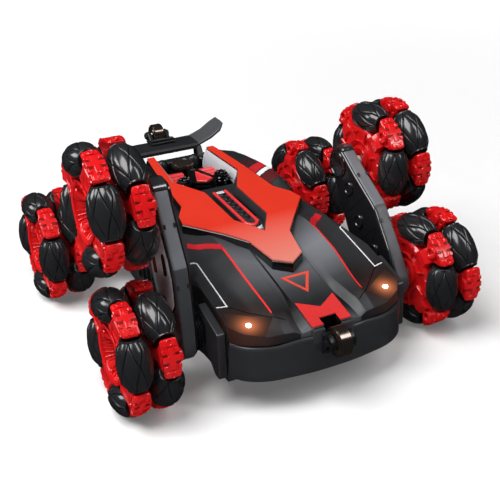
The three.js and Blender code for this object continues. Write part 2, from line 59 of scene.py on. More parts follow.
CAMERA_PLACE = Vector((-237.25, front_axle.y - 420.6, 320.77))
CAMERA_RIGHT = Vector((0.8898, -0.4559, -0.0191))
CAMERA_BACK = Vector((-0.3984, -0.7966, 0.4546))
CAMERA_LENS = 66.43


def make_camera():
    """The photo's point of view."""
    back = CAMERA_BACK.normalized()
    right = (CAMERA_RIGHT - back * CAMERA_RIGHT.dot(back)).normalized()
    up = back.cross(right)
    data = bpy.data.cameras.new("camera")
    data.lens = CAMERA_LENS
    data.clip_start = 10 * MM
    obj = in_scene("camera", data)
    turn = Matrix((right, up, back)).transposed().to_4x4()
    obj.matrix_world = Matrix.Translation(CAMERA_PLACE * MM) @ turn
    bpy.context.scene.camera = obj


def area_light(name, place, target, size, power):
    """A rectangular light at a place, facing a target; all in metres and watts."""
    data = bpy.data.lights.new(name, "AREA")
    data.shape = "RECTANGLE"
    data.size, data.size_y = size
    data.energy = power
    obj = in_scene(name, data)
    obj.location = place
    obj.rotation_euler = (Vector(place) - Vector(target)).to_track_quat("Z", "Y").to_euler()


make_camera()

# ---- materials ----------------------------------------------------------------------------------

GRAIN_DEPTH = 0.2 * MM


def fill_inputs(tree, node, inputs):
    """Links a node's inputs to other nodes' outputs, or sets them to values."""
    for key, value in inputs.items():
        if isinstance(value, bpy.types.NodeSocket):
            tree.links.new(value, node.inputs[key])
        else:
            node.inputs[key].default_value = value


def add_node(tree, kind, inputs, **options):
    """A new shader node, with its options set and its inputs filled."""
    node = tree.nodes.new(f"ShaderNode{kind}")
    for key, value in options.items():
        setattr(node, key, value)
    fill_inputs(tree, node, inputs)
    return node


class Surface:
    """A principled material with the few node chains that the finishes below share."""

    def __init__(self, name):
        """Starts with the plain shader and the piece's own coordinates."""
        self.mat = bpy.data.materials.new(name)
        self.mat.use_nodes = True
        self.tree = self.mat.node_tree
        self.shader = self.tree.nodes["Principled BSDF"]
        self.coords = self.node("TexCoord", {}).outputs["Object"]

    def set(self, **values):
        """Fills the shader's inputs, whose names have spaces where the keywords have underlines."""
        named = {key.replace("_", " "): value for key, value in values.items()}
        fill_inputs(self.tree, self.shader, named)

    def node(self, kind, inputs, **options):
        """A new node in this material."""
        return add_node(self.tree, kind, inputs, **options)

    def noise(self, scale, detail=3):
        """Soft noise over the piece, about 0.5 on average."""
        inputs = {"Scale": scale, "Detail": detail, "Vector": self.coords}
        return self.node("TexNoise", inputs).outputs["Fac"]

    def map_range(self, source, in_low, in_high, out_low, out_high):
        """A value carried from one range to another."""
        limits = {"From Min": in_low, "From Max": in_high, "To Min": out_low, "To Max": out_high}
        return self.node("MapRange", {"Value": source, **limits}).outputs["Result"]

    def mix(self, factor, low, high, blend="MIX"):
        """Two colours or outputs, mixed or multiplied."""
        low, high = [(*end, 1) if isinstance(end, tuple) else end for end in (low, high)]
        inputs = {"Factor": factor, "A": low, "B": high}
        return self.node("Mix", inputs, data_type="RGBA", blend_type=blend).outputs["Result"]

    def part_of_place(self, axis):
        """One coordinate of the place, in metres."""
        return self.node("SeparateXYZ", {"Vector": self.coords}).outputs[axis]

    def uneven_gloss(self, rough, spread, scale=160):
        """Roughness that drifts a little from place to place."""
        self.set(Roughness=self.map_range(self.noise(scale, 4), 0.3, 0.7, rough - spread, rough + spread))

    def grain(self, scale, strength):
        """A fine moulded texture."""
        inputs = {"Strength": strength, "Distance": GRAIN_DEPTH, "Height": self.noise(scale, 2)}
        self.set(Normal=self.node("Bump", inputs).outputs["Normal"])

    def plain(self, colour, spread, rough, rough_spread, bump=0.0, grain=1500):
        """One colour with a slight drift of tone and gloss, and grain where bump isn't 0."""
        low = tuple(c * (1 - spread) for c in colour)
        high = tuple(min(1, c * (1 + spread)) for c in colour)
        self.set(Base_Color=self.mix(self.map_range(self.noise(45), 0.3, 0.7, 0, 1), low, high))
        self.uneven_gloss(rough, rough_spread)
        if bump:
            self.grain(grain, bump)


def moulded(name, colour, rough, coat=0.0, metal=0.0, bump=0.03, grain=1500, spread=0.08,
            rough_spread=0.05, specular=0.5):
    """Moulded plastic, painted sheet or turned metal: fine grain and slightly uneven gloss."""
    surface = Surface(name)
    surface.plain(colour, spread, rough, rough_spread, bump, grain)
    surface.set(Metallic=metal, Coat_Weight=coat, Coat_Roughness=0.06, Specular_IOR_Level=specular)
    return surface.mat


LAMP = Vector((45.2, -32.6, 53.0))       # from the front axle's foot, as all the body's shapes are


def lamp_distance(surface):
    """Distance from the nearer lamp, in metres, on a piece of the body."""
    x, y, z = surface.node("SeparateXYZ", {"Vector": surface.coords}).outputs
    outward = surface.node("Math", {0: x}, operation="ABSOLUTE").outputs["Value"]
    place = surface.node("CombineXYZ", {"X": outward, "Y": y, "Z": z}).outputs["Vector"]
    return surface.node("VectorMath", {0: place, 1: LAMP * MM}, operation="DISTANCE").outputs["Value"]


def painted_lamp_glow(surface, reach, strength, colour):
    """A painted glow of the lamps' warm light on the surface round them, fading over a reach in
    millimetres.
    """
    near = surface.map_range(lamp_distance(surface), 0, reach * MM, 1, 0)
    falloff = surface.node("Math", {0: near, 1: 3.4}, operation="POWER").outputs["Value"]
    surface.set(Emission_Color=surface.mix(falloff, (0, 0, 0), colour), Emission_Strength=strength)


def charcoal_with_painted_light(name, painted_tones, rough):
    """Satin dark grey with painted light and shade that follow the distance behind the front axle:
    (distance, tone) pairs.
    """
    surface = Surface(name)
    surface.set(Metallic=0.15, Specular_IOR_Level=0.4)
    # the ramp's colours are painted light and shade along the length
    nearest, farthest = painted_tones[0][0], painted_tones[-1][0]
    along = surface.map_range(surface.part_of_place("Y"), nearest * MM, farthest * MM, 0, 1)
    ramp = surface.node("ValToRGB", {"Fac": along})
    stops = ramp.color_ramp.elements
    while len(stops) < len(painted_tones):
        stops.new(0.5)
    for stop, (distance, tone) in zip(stops, painted_tones):
        stop.position = (distance - nearest) / (farthest - nearest)
        stop.color = (tone * 0.95, tone * 0.99, tone * 1.09, 1)
    flecks = surface.mix(surface.noise(900, 2), (0.94, 0.94, 0.94), (1.06, 1.06, 1.06))
    surface.set(Base_Color=surface.mix(1.0, ramp.outputs["Color"], flecks, "MULTIPLY"))
    surface.uneven_gloss(rough, 0.04)
    surface.grain(2600, 0.04)
    # painted glow of the lamps' light on the plastic round them
    painted_lamp_glow(surface, 34, 0.17, (0.5, 0.11, 0.035))
    return surface.mat


# Painted light and shade along the hood as (distance behind the front axle, tone): the outer panels, the
# band's painted highlight, and the black valleys' paler front ends.
OUTER_PAINTED_LIGHT = [(-44, 0.02), (-22, 0.006), (-8, 0.02), (20, 0.03), (52, 0.028), (90, 0.02)]
BAND_PAINTED_HIGHLIGHT = [(-44, 0.05), (-30, 0.012), (-16, 0.045), (0, 0.13), (14, 0.175), (28, 0.11), (48, 0.03)]
VALLEY_BLACK_AND_PAINTED_LIGHT = [(-46, 0.1), (-42, 0.05), (-37, 0.012), (-28, 0.004), (30, 0.003)]


def roof_red_with_painted_reflection():
    """Orange-red lacquer, with a painted reflection that pales it towards the nose tip."""
    surface = Surface("red_panel")
    # the paler colour towards the nose is a painted reflection
    along = surface.map_range(surface.part_of_place("Y"), 2 * MM, 50 * MM, 0, 1)
    deep = surface.mix(surface.noise(60), (0.59, 0.028, 0.0125), (0.63, 0.033, 0.0155))
    surface.set(Base_Color=surface.mix(along, (0.67, 0.2, 0.155), deep), Specular_IOR_Level=0.22)
    surface.uneven_gloss(0.46, 0.04, 180)
    return surface.mat


def lens_finish():
    """Smoked lens, glowing round the lamp behind it."""
    surface = Surface("lamp_lens")
    surface.plain((0.035, 0.018, 0.014), 0.15, 0.12, 0.03)
    surface.set(Coat_Weight=0.8, Coat_Roughness=0.04)
    painted_lamp_glow(surface, 16, 1.3, (0.9, 0.25, 0.09))
    return surface.mat


def lamp_finish():
    """The lit bulb itself."""
    surface = Surface("lamp_bulb")
    tone = surface.mix(surface.noise(300), (1.0, 0.82, 0.66), (1.0, 0.9, 0.8))
    surface.set(Emission_Color=tone, Emission_Strength=14.0, Roughness=0.3)
    return surface.mat


MAT = {
    "rubber": moulded("roller_rubber", (0.015, 0.0155, 0.017), 0.22, coat=0.3, bump=0.05, spread=0.15,
                      rough_spread=0.02, specular=0.45),
    # painted shade in the rollers' grooves and in the hollows of their collars
    "bush": moulded("roller_painted_shade", (0.002, 0.002, 0.0023), 0.5, specular=0.15),
    "wheel_red": moulded("wheel_red", (0.64, 0.008, 0.010), 0.2, coat=0.5, bump=0.01, specular=0.4),
    "steel": moulded("steel", (0.6, 0.6, 0.62), 0.25, metal=1.0),
    # the hood's dark greys carry painted light and shade along the length, the band a painted highlight
    "hood": charcoal_with_painted_light("hood_plastic", OUTER_PAINTED_LIGHT, 0.42),
    "hood_band": charcoal_with_painted_light("hood_band", BAND_PAINTED_HIGHLIGHT, 0.42),
    "gloss_black": moulded("gloss_black", (0.003, 0.003, 0.0035), 0.12, coat=0.4, specular=0.35),
    "black": moulded("black_plastic", (0.008, 0.0085, 0.0095), 0.36, bump=0.08, grain=2600, specular=0.35),
    "roof_red": roof_red_with_painted_reflection(),
    "nose_red": moulded("nose_red", (0.66, 0.034, 0.034), 0.3, coat=0.15, bump=0.0, specular=0.3),
    "trim_red": moulded("trim_red", (0.70, 0.035, 0.04), 0.35, bump=0.0),
    "print_red": moulded("print_red", (0.50, 0.012, 0.02), 0.4, bump=0.0),
    "print_bright": moulded("print_bright_red", (0.85, 0.02, 0.018), 0.35, bump=0.0),
    "print_dark": moulded("print_dark_red", (0.08, 0.006, 0.008), 0.4, bump=0.0),
    "print_white": moulded("print_white", (0.72, 0.72, 0.74), 0.4, bump=0.0, spread=0.02),
    "print_orange": moulded("print_orange", (0.74, 0.07, 0.04), 0.4, bump=0.0),
    "silver": moulded("silver_plastic", (0.55, 0.56, 0.58), 0.32, metal=0.2, bump=0.02),
    "recess": moulded("recess_grey", (0.022, 0.024, 0.027), 0.4, bump=0.05),
    "arm_grey": moulded("arm_grey", (0.145, 0.153, 0.17), 0.38, metal=0.1, bump=0.05, grain=2600),
    # a darker copy of the arm grey: painted shade on the rim's lower faces
    "arm_dark": moulded("arm_grey_painted_shade", (0.05, 0.053, 0.06), 0.36, metal=0.1, bump=0.05, grain=2600),
    "smoke": moulded("arm_smoke", (0.009, 0.009, 0.0105), 0.14, coat=0.6, bump=0.0, specular=0.4),
    "polished": moulded("polished_black", (0.03, 0.031, 0.034), 0.14, metal=0.3, coat=0.7, bump=0.0,
                        specular=0.7),
    "bumper": moulded("bumper_plastic", (0.024, 0.025, 0.028), 0.34, coat=0.12, bump=0.06, grain=2600,
                      rough_spread=0.01, specular=0.45),
    "spoiler": moulded("spoiler_plastic", (0.014, 0.0145, 0.016), 0.42, bump=0.1, grain=2600, specular=0.4),
    "spoiler_end": moulded("spoiler_end_grey", (0.06, 0.064, 0.07), 0.45, bump=0.1, grain=2600,
                           specular=0.3),
    "roller_brown": moulded("bump_roller", (0.13, 0.1, 0.085), 0.16, metal=0.9, coat=0.4, bump=0.0),
    "cap_brown": moulded("cap_brown", (0.02, 0.014, 0.012), 0.2, coat=0.3, bump=0.0),
    # black valleys with painted light at their front ends
    "valley": charcoal_with_painted_light("valley_black_painted_light", VALLEY_BLACK_AND_PAINTED_LIGHT, 0.4),
    "reflector": moulded("tail_reflector", (0.45, 0.006, 0.008), 0.12, coat=0.8, bump=0.0),
    # dark red painted shade where the tabs' slots stand
    "slot_red": moulded("slot_red", (0.14, 0.003, 0.003), 0.4, specular=0.2),
    "lens": lens_finish(),
    "lamp": lamp_finish(),
    "nylon": moulded("gear_nylon", (0.72, 0.68, 0.58), 0.45, bump=0.1),
    "battery": moulded("battery_wrap", (0.02, 0.09, 0.33), 0.3, bump=0.05),
    "board": moulded("board", (0.008, 0.10, 0.035), 0.35, bump=0.1),
}

# ---- mesh helpers -------------------------------------------------------------------------------


def finish_mesh(bm, name, angle):
    """A bmesh in millimetres becomes a mesh in metres, smooth except at edges sharper than the angle."""
    bmesh.ops.recalc_face_normals(bm, faces=bm.faces)
    bmesh.ops.scale(bm, vec=(MM, MM, MM), verts=bm.verts)
    mesh = bpy.data.meshes.new(name)
    bm.to_mesh(mesh)
    bm.free()
    mesh.shade_smooth()
    mesh.set_sharp_from_angle(angle=math.radians(angle))
    return mesh


def piece(name, mesh, mats, body, place, replaces=()):
    """A visible piece that rides on a body. A mesh that several pieces share gets its materials once."""
    obj = in_scene(name, mesh)
    if not mesh.materials:
        for key in mats.split():
            mesh.materials.append(MAT[key])
    obj.matrix_world = place
    shading = obj.modifiers.new("shading", "WEIGHTED_NORMAL")
    shading.keep_sharp = True
    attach(obj, body)
    if replaces:
        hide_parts(*replaces)
    return obj


def smoothstep(low, high, x):
    """0 below low, 1 above high, and a soft rise between."""
    t = min(1.0, max(0.0, (x - low) / (high - low)))
    return t * t * (3 - 2 * t)


def interpolate(table, x):
    """The value at x between the (x, value) pairs of a table, constant past its ends."""
    if x <= table[0][0]:
        return table[0][1]
    for (x0, y0), (x1, y1) in zip(table, table[1:]):
        if x <= x1:
            return y0 + (y1 - y0) * (x - x0) / (x1 - x0)
    return table[-1][1]


def steps(low, high, size):
    """Even steps of about the given size, with both ends."""
    count = max(1, round((high - low) / size))
    return [low + (high - low) * i / count for i in range(count + 1)]


def mirrored(outline, u_sign, v_sign=1):
    """An anticlockwise outline with the signs of its coordinates turned, still anticlockwise."""
    turned = [(u * u_sign, v * v_sign) for u, v in outline]
    return turned if u_sign * v_sign > 0 else turned[::-1]


def outward(pairs, side):
    """(inset or radius, distance out) pairs for the car's left, or their mirror image for its right."""
    return [(a, w * side) for a, w in pairs]


def both_sides(half):
    """A plan's half outline, front to back, closed with its mirror image."""
    return list(half) + [(-x, y) for x, y in reversed(half) if x > 0.001]


def inset_outline(outline, amount):
    """An anticlockwise outline moved inwards."""
    result = []
    count = len(outline)
    for i, here in enumerate(outline):
        here = Vector(here)
        before = (here - Vector(outline[i - 1])).normalized()
        after = (Vector(outline[(i + 1) % count]) - here).normalized()
        normals = [Vector((-d.y, d.x)) for d in (before, after)]
        stretch = max(0.45, 1 + normals[0].dot(normals[1]))
        result.append(tuple(here + (normals[0] + normals[1]) * (amount / stretch)))
    return result


def rounded(outline, reach, count=4):
    """Corners replaced by short curves."""
    result = []
    for i, corner in enumerate(outline):
        corner = Vector(corner)
        ends = []
        for other in (Vector(outline[i - 1]), Vector(outline[(i + 1) % len(outline)])):
            side = other - corner
            ends.append(corner + side.normalized() * min(reach, side.length * 0.45))
        for k in range(count + 1):
            t = k / count
            result.append(tuple(ends[0] * (1 - t) ** 2 + corner * 2 * t * (1 - t) + ends[1] * t * t))
    return result


def add_lathe(bm, profile, segments, axis, centre=(0, 0, 0), mat=0, turn=0.0):
    """A turned body: profile points are (radius, distance along the axis), ends on the axis."""
    rings = []
    for r, t in profile:
        ring = []
        for i in range(1 if r < 1e-6 else segments):
            a = 2 * math.pi * (i + turn) / segments
            u, v = r * math.cos(a), r * math.sin(a)
            point = {"x": (t, u, v), "y": (u, t, v), "z": (u, v, t)}[axis]
            ring.append(bm.verts.new(Vector(centre) + Vector(point)))
        rings.append(ring)
    for a, b in zip(rings, rings[1:]):
        for i in range(segments):
            j = (i + 1) % segments
            quad = list(dict.fromkeys([a[i % len(a)], a[j % len(a)], b[j % len(b)], b[i % len(b)]]))
            if len(quad) > 2:
                bm.faces.new(quad).material_index = mat
    return [vert for ring in rings for vert in ring]


def add_rings(bm, rings, mat=0):
    """A closed body through rings of equal count, with its first and last ring capped."""
    table = [[bm.verts.new(point) for point in ring] for ring in rings]
    count = len(table[0])
    faces = [table[0], table[-1]]
    for a, b in zip(table, table[1:]):
        for i in range(count):
            j = (i + 1) % count
            faces.append([a[i], a[j], b[j], b[i]])
    for face in faces:
        bm.faces.new(face).material_index = mat
    return [vert for ring in table for vert in ring]


def add_plate(bm, outline, levels, axis="z", mat=0):
    """An outline in two coordinates, swept along the third, the axis, through (inset, place) levels."""
    def point(u, v, w):
        return {"z": (u, v, w), "x": (w, u, v), "y": (u, w, v)}[axis]
    rings = [[point(u, v, w) for u, v in inset_outline(outline, inset)] for inset, w in levels]
    return add_rings(bm, rings, mat)


def cut_across(bm, axis, values):
    """Extra edges where the mesh crosses planes, so that it can bend there."""
    normal = Vector([float(axis == name) for name in "xyz"])
    for value in values:
        everything = list(bm.verts) + list(bm.edges) + list(bm.faces)
        bmesh.ops.bisect_plane(bm, geom=everything, plane_co=normal * value, plane_no=normal)


def add_slab(bm, us, vs, top, bottom, mat=0):
    """A closed slab between two surfaces given at the same grid of (u, v)."""
    a, b = [[[bm.verts.new(surface(u, v)) for v in vs] for u in us] for surface in (top, bottom)]
    faces = []
    for i in range(len(us) - 1):
        for j in range(len(vs) - 1):
            faces.append([a[i][j], a[i + 1][j], a[i + 1][j + 1], a[i][j + 1]])
            faces.append([b[i][j + 1], b[i + 1][j + 1], b[i + 1][j], b[i][j]])
        for j in (0, len(vs) - 1):
            faces.append([a[i][j], a[i + 1][j], b[i + 1][j], b[i][j]])
    for j in range(len(vs) - 1):
        for i in (0, len(us) - 1):
            faces.append([a[i][j], a[i][j + 1], b[i][j + 1], b[i][j]])
    for face in faces:
        bm.faces.new(face).material_index = mat


def box_levels(low, high, bevel):
    """Levels for add_plate that bevel both ends."""
    return [(bevel, low), (0, low + bevel), (0, high - bevel), (bevel, high)]


def rectangle(u, v):
    """An anticlockwise outline between two pairs of limits."""
    return [(u[0], v[0]), (u[1], v[0]), (u[1], v[1]), (u[0], v[1])]


def add_box(bm, x, y, z, bevel, mat=0):
    """A box between pairs of limits."""
    return add_plate(bm, rectangle(x, y), box_levels(*z, bevel), "z", mat)


# ---- omni wheels --------------------------------------------------------------------------------
# A wheel's shapes are given with its axis along x and its outer face towards +x.

WHEEL_R = 37.5
ROLLER_CIRCLE = 27.4     # radius at which the rollers' pins lie
ROLLER_HALF = 13.3       # half a barrel's length
ROW = 9.0                # from the wheel's middle to each row of rollers
DIAMONDS = 6             # round a barrel
ROLLER_NODES = [0, 0.014, 0.032, 0.06, 0.12, 0.22, 0.35, 0.5, 0.65, 0.78, 0.88, 0.94, 0.968, 0.986, 1]
COLLAR = [(6.1, 0.15), (6.1, 0.75), (5.8, 1.0), (4.3, 1.0), (4.1, 0.4), (2.6, 0.4), (2.5, 1.1), (1.2, 1.1)]


def from_edge(*shares):
    """Distance of a place in a diamond from its nearest edge, as a share of the diamond's side."""
    return min(min(share, 1 - share) for share in shares)


def roller_point(angle, t, edge):
    """A place on the barrel, with its crown between grooves."""
    radius = math.sqrt(WHEEL_R ** 2 - t * t) - ROLLER_CIRCLE
    radius -= 1.5 * smoothstep(8.5, 14.5, abs(t))
    groove = 0.6 * (1 - smoothstep(0.0, 0.05, edge))
    crown = 0.3 * (1 - 2 * edge) ** 2
    radius -= groove + crown
    return (radius * math.cos(angle), radius * math.sin(angle), t)


def add_diamond(bm, centre, end):
    """One diamond, whole where end is 0, and otherwise the half that fits between two at that end."""
    half_turn = math.pi / DIAMONDS
    last = len(ROLLER_NODES) - 1
    grid = {}
    for i, p in enumerate(ROLLER_NODES):
        for j, q in enumerate(ROLLER_NODES):
            if (i + j - last) * end <= 0:
                place = centre + half_turn * (p - q)
                t = ROLLER_HALF * (end + p + q - 1)
                grid[i, j] = bm.verts.new(roller_point(place, t, from_edge(p, q)))
    for i in range(last):
        for j in range(last):
            corners = [(i, j), (i + 1, j), (i + 1, j + 1), (i, j + 1)]
            face = [grid[c] for c in corners if c in grid]
            if len(face) > 2:
                depth = sum(from_edge(ROLLER_NODES[a], ROLLER_NODES[b]) for a, b in corners)
                # groove faces take the darker material: painted shade
                bm.faces.new(face).material_index = 1 if depth < 0.07 else 0


def add_collar(bm, end):
    """Closes one end of the barrel with a stepped collar, with painted shade in its hollow."""
    loop = [e for e in bm.edges if e.is_boundary and e.verts[0].co.z * end > 0]
    for number, (radius, rise) in enumerate(COLLAR):
        made = bmesh.ops.extrude_edge_only(bm, edges=loop)["geom"]
        loop = [g for g in made if isinstance(g, bmesh.types.BMEdge) and g.is_boundary]
        for vert in {v for e in loop for v in e.verts}:
            flat = Vector((vert.co.x, vert.co.y)).normalized() * radius
            vert.co = (flat.x, flat.y, end * (ROLLER_HALF + rise))
        for edge in loop:
            for face in edge.link_faces:
                face.material_index = 1 if number > 2 else 0
    bmesh.ops.contextual_create(bm, geom=loop)


def roller_mesh():
    """A barrel quilted with long diamonds between crossed grooves, with a collar at each end."""
    bm = bmesh.new()
    half_turn = math.pi / DIAMONDS
    for k in range(DIAMONDS):
        add_diamond(bm, 2 * k * half_turn, 0)
        for end in (1, -1):
            add_diamond(bm, (2 * k + 1) * half_turn, end)
    bmesh.ops.remove_doubles(bm, verts=bm.verts, dist=0.002)
    for end in (1, -1):
        add_collar(bm, end)
    return finish_mesh(bm, "roller", 50)


TAB_RIM = 36.2


def bent_over_rim(verts):
    """Wraps flat tab coordinates (across, height, along the rim) round the wheel's axis."""
    for vert in verts:
        s, h, v = vert.co
        angle = v / TAB_RIM
        vert.co = (s, (TAB_RIM + h) * math.cos(angle), (TAB_RIM + h) * math.sin(angle))


def add_tab_block(bm, outline, levels, mat=0):
    """A plate on the rim: its outline is (along, across), its levels are (inset, height)."""
    rings = [[(s, h, v) for v, s in inset_outline(outline, inset)] for inset, h in levels]
    return add_rings(bm, rings, mat)


def tab_mesh(name, boss):
    """The bridge between two rollers: a curved plate with a raised cross, end rings and a side boss."""
    bm = bmesh.new()
    plate = rounded(rectangle((-11.4, 11.4), (-5.0, 5.0)), 2.6)
    add_tab_block(bm, plate, [(1.5, -7.0), (0.4, -3.2), (0, -1.0), (0, -0.5), (0.25, -0.12), (0.7, 0)])
    arms = [(-6.2, -1.5), (-2.0, -1.5), (-1.6, -1.9), (-1.6, -5.3), (1.6, -5.3), (1.6, -1.9), (2.0, -1.5),
            (6.2, -1.5), (6.2, 1.5), (2.0, 1.5), (1.6, 1.9), (1.6, 5.3), (-1.6, 5.3), (-1.6, 1.9),
            (-2.0, 1.5), (-6.2, 1.5)]
    add_tab_block(bm, arms, [(0, -1.2), (0, 0.45), (0.15, 0.66), (0.4, 0.75)])
    pad = rounded(rectangle((7.0, 10.7), (-4.2, 4.2)), 1.2)
    block = rounded(rectangle((3.3, 5.6), (3.0, 5.25)), 0.5, 2)
    slot = rectangle((1.9, 3.0), (2.2, 4.7))
    for end in (1, -1):
        add_tab_block(bm, mirrored(pad, end, end), [(0, -1.0), (0, 0.3), (0.15, 0.5), (0.4, 0.6)])
        for edge in (1, -1):
            add_tab_block(bm, mirrored(block, end, edge), [(0, -1.4), (0, 0.4), (0.3, 0.66)])
            # the dark red slots are painted shade in place of holes
            add_tab_block(bm, mirrored(slot, end, edge), [(0, -1.4), (0, 0.1)], mat=1)
    cut_across(bm, "z", [v * 1.9 for v in range(-6, 7)])
    bent_over_rim(bm.verts)
    web = [(13, -3.4), (24, -3.4), (30.5, -7.4), (30.5, 7.4), (24, 3.4), (13, 3.4)]
    add_plate(bm, web, [(0.4, -4.6), (0, -4.2), (0, 4.2), (0.4, 4.6)], "x")
    for u in (8.9, -8.9):
        ring = [(2.0, 0.3), (2.0, 0.85), (1.75, 1.05), (1.4, 1.05), (1.2, 0.85), (1.2, 0.5), (0, 0.5)]
        verts = add_lathe(bm, ring, 16, "y", (0, 0, u))
        bent_over_rim(verts)
    add_lathe(bm, boss, 24, "x", (0, 32.0, 0))
    return finish_mesh(bm, name, 30)


OUTER_BOSS = [(0, -3.0), (3.6, -3.0), (3.6, -5.4), (3.2, -5.8), (0, -5.8)]
INNER_BOSS = [(0, -3.0), (3.9, -3.0), (3.9, -6.6), (3.5, -7.0), (2.8, -7.0), (2.5, -6.6), (2.5, -5.2),
              (0, -5.2)]


def polar_face(bm, rings, spokes, place):
    """A sheet given in polar rings round the wheel's axis; place(i, angle) gives (radius, along)."""
    table = []
    for i in range(rings):
        row = []
        for k in range(spokes):
            angle = 2 * math.pi * k / spokes
            radius, along = place(i, angle)
            row.append(bm.verts.new((along, radius * math.cos(angle), radius * math.sin(angle))))
        table.append(row)
    for a, b in zip(table, table[1:]):
        for k in range(spokes):
            j = (k + 1) % spokes
            bm.faces.new([a[k], a[j], b[j], b[k]])
    return table


def from_quarter(angle):
    """Degrees from the nearest quarter turn."""
    return abs((math.degrees(angle) + 45) % 90 - 45)


def spoke_bar(bm, angle, start, end, width, height):
    """A rounded bar on the dish between two (radius, along, sideways) places."""
    rings = []
    for t in steps(0, 1, 0.125):
        here = Vector(start).lerp(Vector(end), t)
        wide = width * (1 + 0.5 * (2 * t - 1) ** 2)
        ring = []
        for u, v in ((-1, -1.2), (-1, 0.3), (-0.6, 0.85), (0, 1), (0.6, 0.85), (1, 0.3), (1, -1.2)):
            radius, along, side = here.x, here.y + v * height, here.z + u * wide
            ring.append((along, radius * math.cos(angle) - side * math.sin(angle),
                         radius * math.sin(angle) + side * math.cos(angle)))
        rings.append(ring)
    add_rings(bm, rings)


CONE_RADII = [9.2, 10.4, 10.6, 13.2, 13.4, 18.6, 18.8, 21.3, 22.6]
CONE_SPOKES = 144


def cone_front(i, angle):
    """The stepped cone on the wheel's inner side, whose edge reaches out to the tabs."""
    rho = CONE_RADII[i]
    near = from_quarter(angle)
    along = -14.6 - 1.8 * smoothstep(9, 14, rho) - (1.4 if 10.5 < rho < 13.3 else 0)
    if rho > 18.7:
        along -= 1.3
        arm = 5.5 * (1 - smoothstep(10, 14, near))
        rho += (0.9 if near > 36 else 0.0) + arm * (i - 5) / 3
    if i == len(CONE_RADII) - 1:
        along += 1.8
    return rho, along


def cone_back(i, angle):
    """The cone's hidden side, which starts inside the dish."""
    rho, along = cone_front(i, angle)
    return (15.0, -9.0) if i == 0 else (rho, along + 3.4)


def add_inner_cone(bm):
    """The cone's two sides, closed at both rims, with raised bars."""
    front, back = [polar_face(bm, len(CONE_RADII), CONE_SPOKES, place) for place in (cone_front, cone_back)]
    for ring in (0, -1):
        for k in range(CONE_SPOKES):
            j = (k + 1) % CONE_SPOKES
            bm.faces.new([front[ring][k], front[ring][j], back[ring][j], back[ring][k]])
    for k in range(4):
        for turn in (24, 66):
            angle = math.radians(90 * k + turn)
            spoke_bar(bm, angle, (12.8, -16.6, 0), (21.8, -17.9, 0), 0.7, -0.9)


def hub_mesh():
    """The red frame: ribbed dish with Y spokes outside, stepped cone inside."""
    bm = bmesh.new()
    dish = [(0, -15.0), (4.2, -15.0), (4.2, -17.8), (8.4, -17.8), (8.8, -17.4), (9.0, -15.8), (15.8, -16.2),
            (15.8, 14.5), (17.6, 15.0), (18.0, 14.8), (17.9, 14.2), (15.2, 12.2), (12.0, 8.6), (9.4, 6.4),
            (7.6, 5.8), (7.2, 8.6), (6.8, 9.0), (3.5, 9.0), (3.2, 7.0), (0, 7.0)]
    add_lathe(bm, dish, 72, "x")
    for k in range(36):
        angle = 2 * math.pi * k / 36
        spoke_bar(bm, angle, (8.2, 6.4, 0), (16.2, 13.2, 0), 0.28, 0.7)
    for k in range(4):
        angle = math.radians(45 + 90 * k)
        spoke_bar(bm, angle, (6.5, 7.4, 0), (13.6, 12.4, 0), 1.7, 1.5)
        for branch in (1, -1):
            spoke_bar(bm, angle, (12.8, 12.0, branch * 0.8), (20.5, 13.2, branch * 6.6), 1.4, 1.5)
            spoke_bar(bm, angle, (20.0, 13.0, branch * 6.2), (31.0, 12.2, branch * 4.4), 1.3, 1.6)
    add_inner_cone(bm)
    return finish_mesh(bm, "wheel_hub", 28)


def screw_mesh(radius, height, name):
    """A pan-head screw with a cross recess, its axis along x."""
    bm = bmesh.new()
    profile = [(0, -1), (radius * 0.9, -1), (radius, 0), (radius, height * 0.4),
               (radius * 0.86, height * 0.85), (radius * 0.5, height), (radius * 0.42, height * 0.5),
               (0, height * 0.4)]
    add_lathe(bm, profile, 32, "x")
    for turn in (0, 90):
        outline = rectangle((-radius * 0.62, radius * 0.62), (-radius * 0.1, radius * 0.1))
        if turn:
            outline = [(-v, u) for u, v in outline]
        add_plate(bm, outline, [(0, height * 0.3), (0.02, height * 0.95)], "x")
    return finish_mesh(bm, name, 40)


ROLLER = roller_mesh()
TABS = {"outer": tab_mesh("outer_tab", OUTER_BOSS), "inner": tab_mesh("inner_tab", INNER_BOSS)}
HUB = hub_mesh()
WHEEL_SCREW = screw_mesh(2.6, 1.4, "wheel_screw")

# body, side, rest angle of an outer roller in degrees
WHEELS = [
    ("left_front_wheel", 1, 44),
    ("right_front_wheel", -1, 74),
    ("left_rear_wheel", 1, 84),
    ("right_rear_wheel", -1, 85),
    ("left_arm_wheel", 1, 45),
    ("right_arm_wheel", -1, 71),
]
TRACK_HALF = 101.0


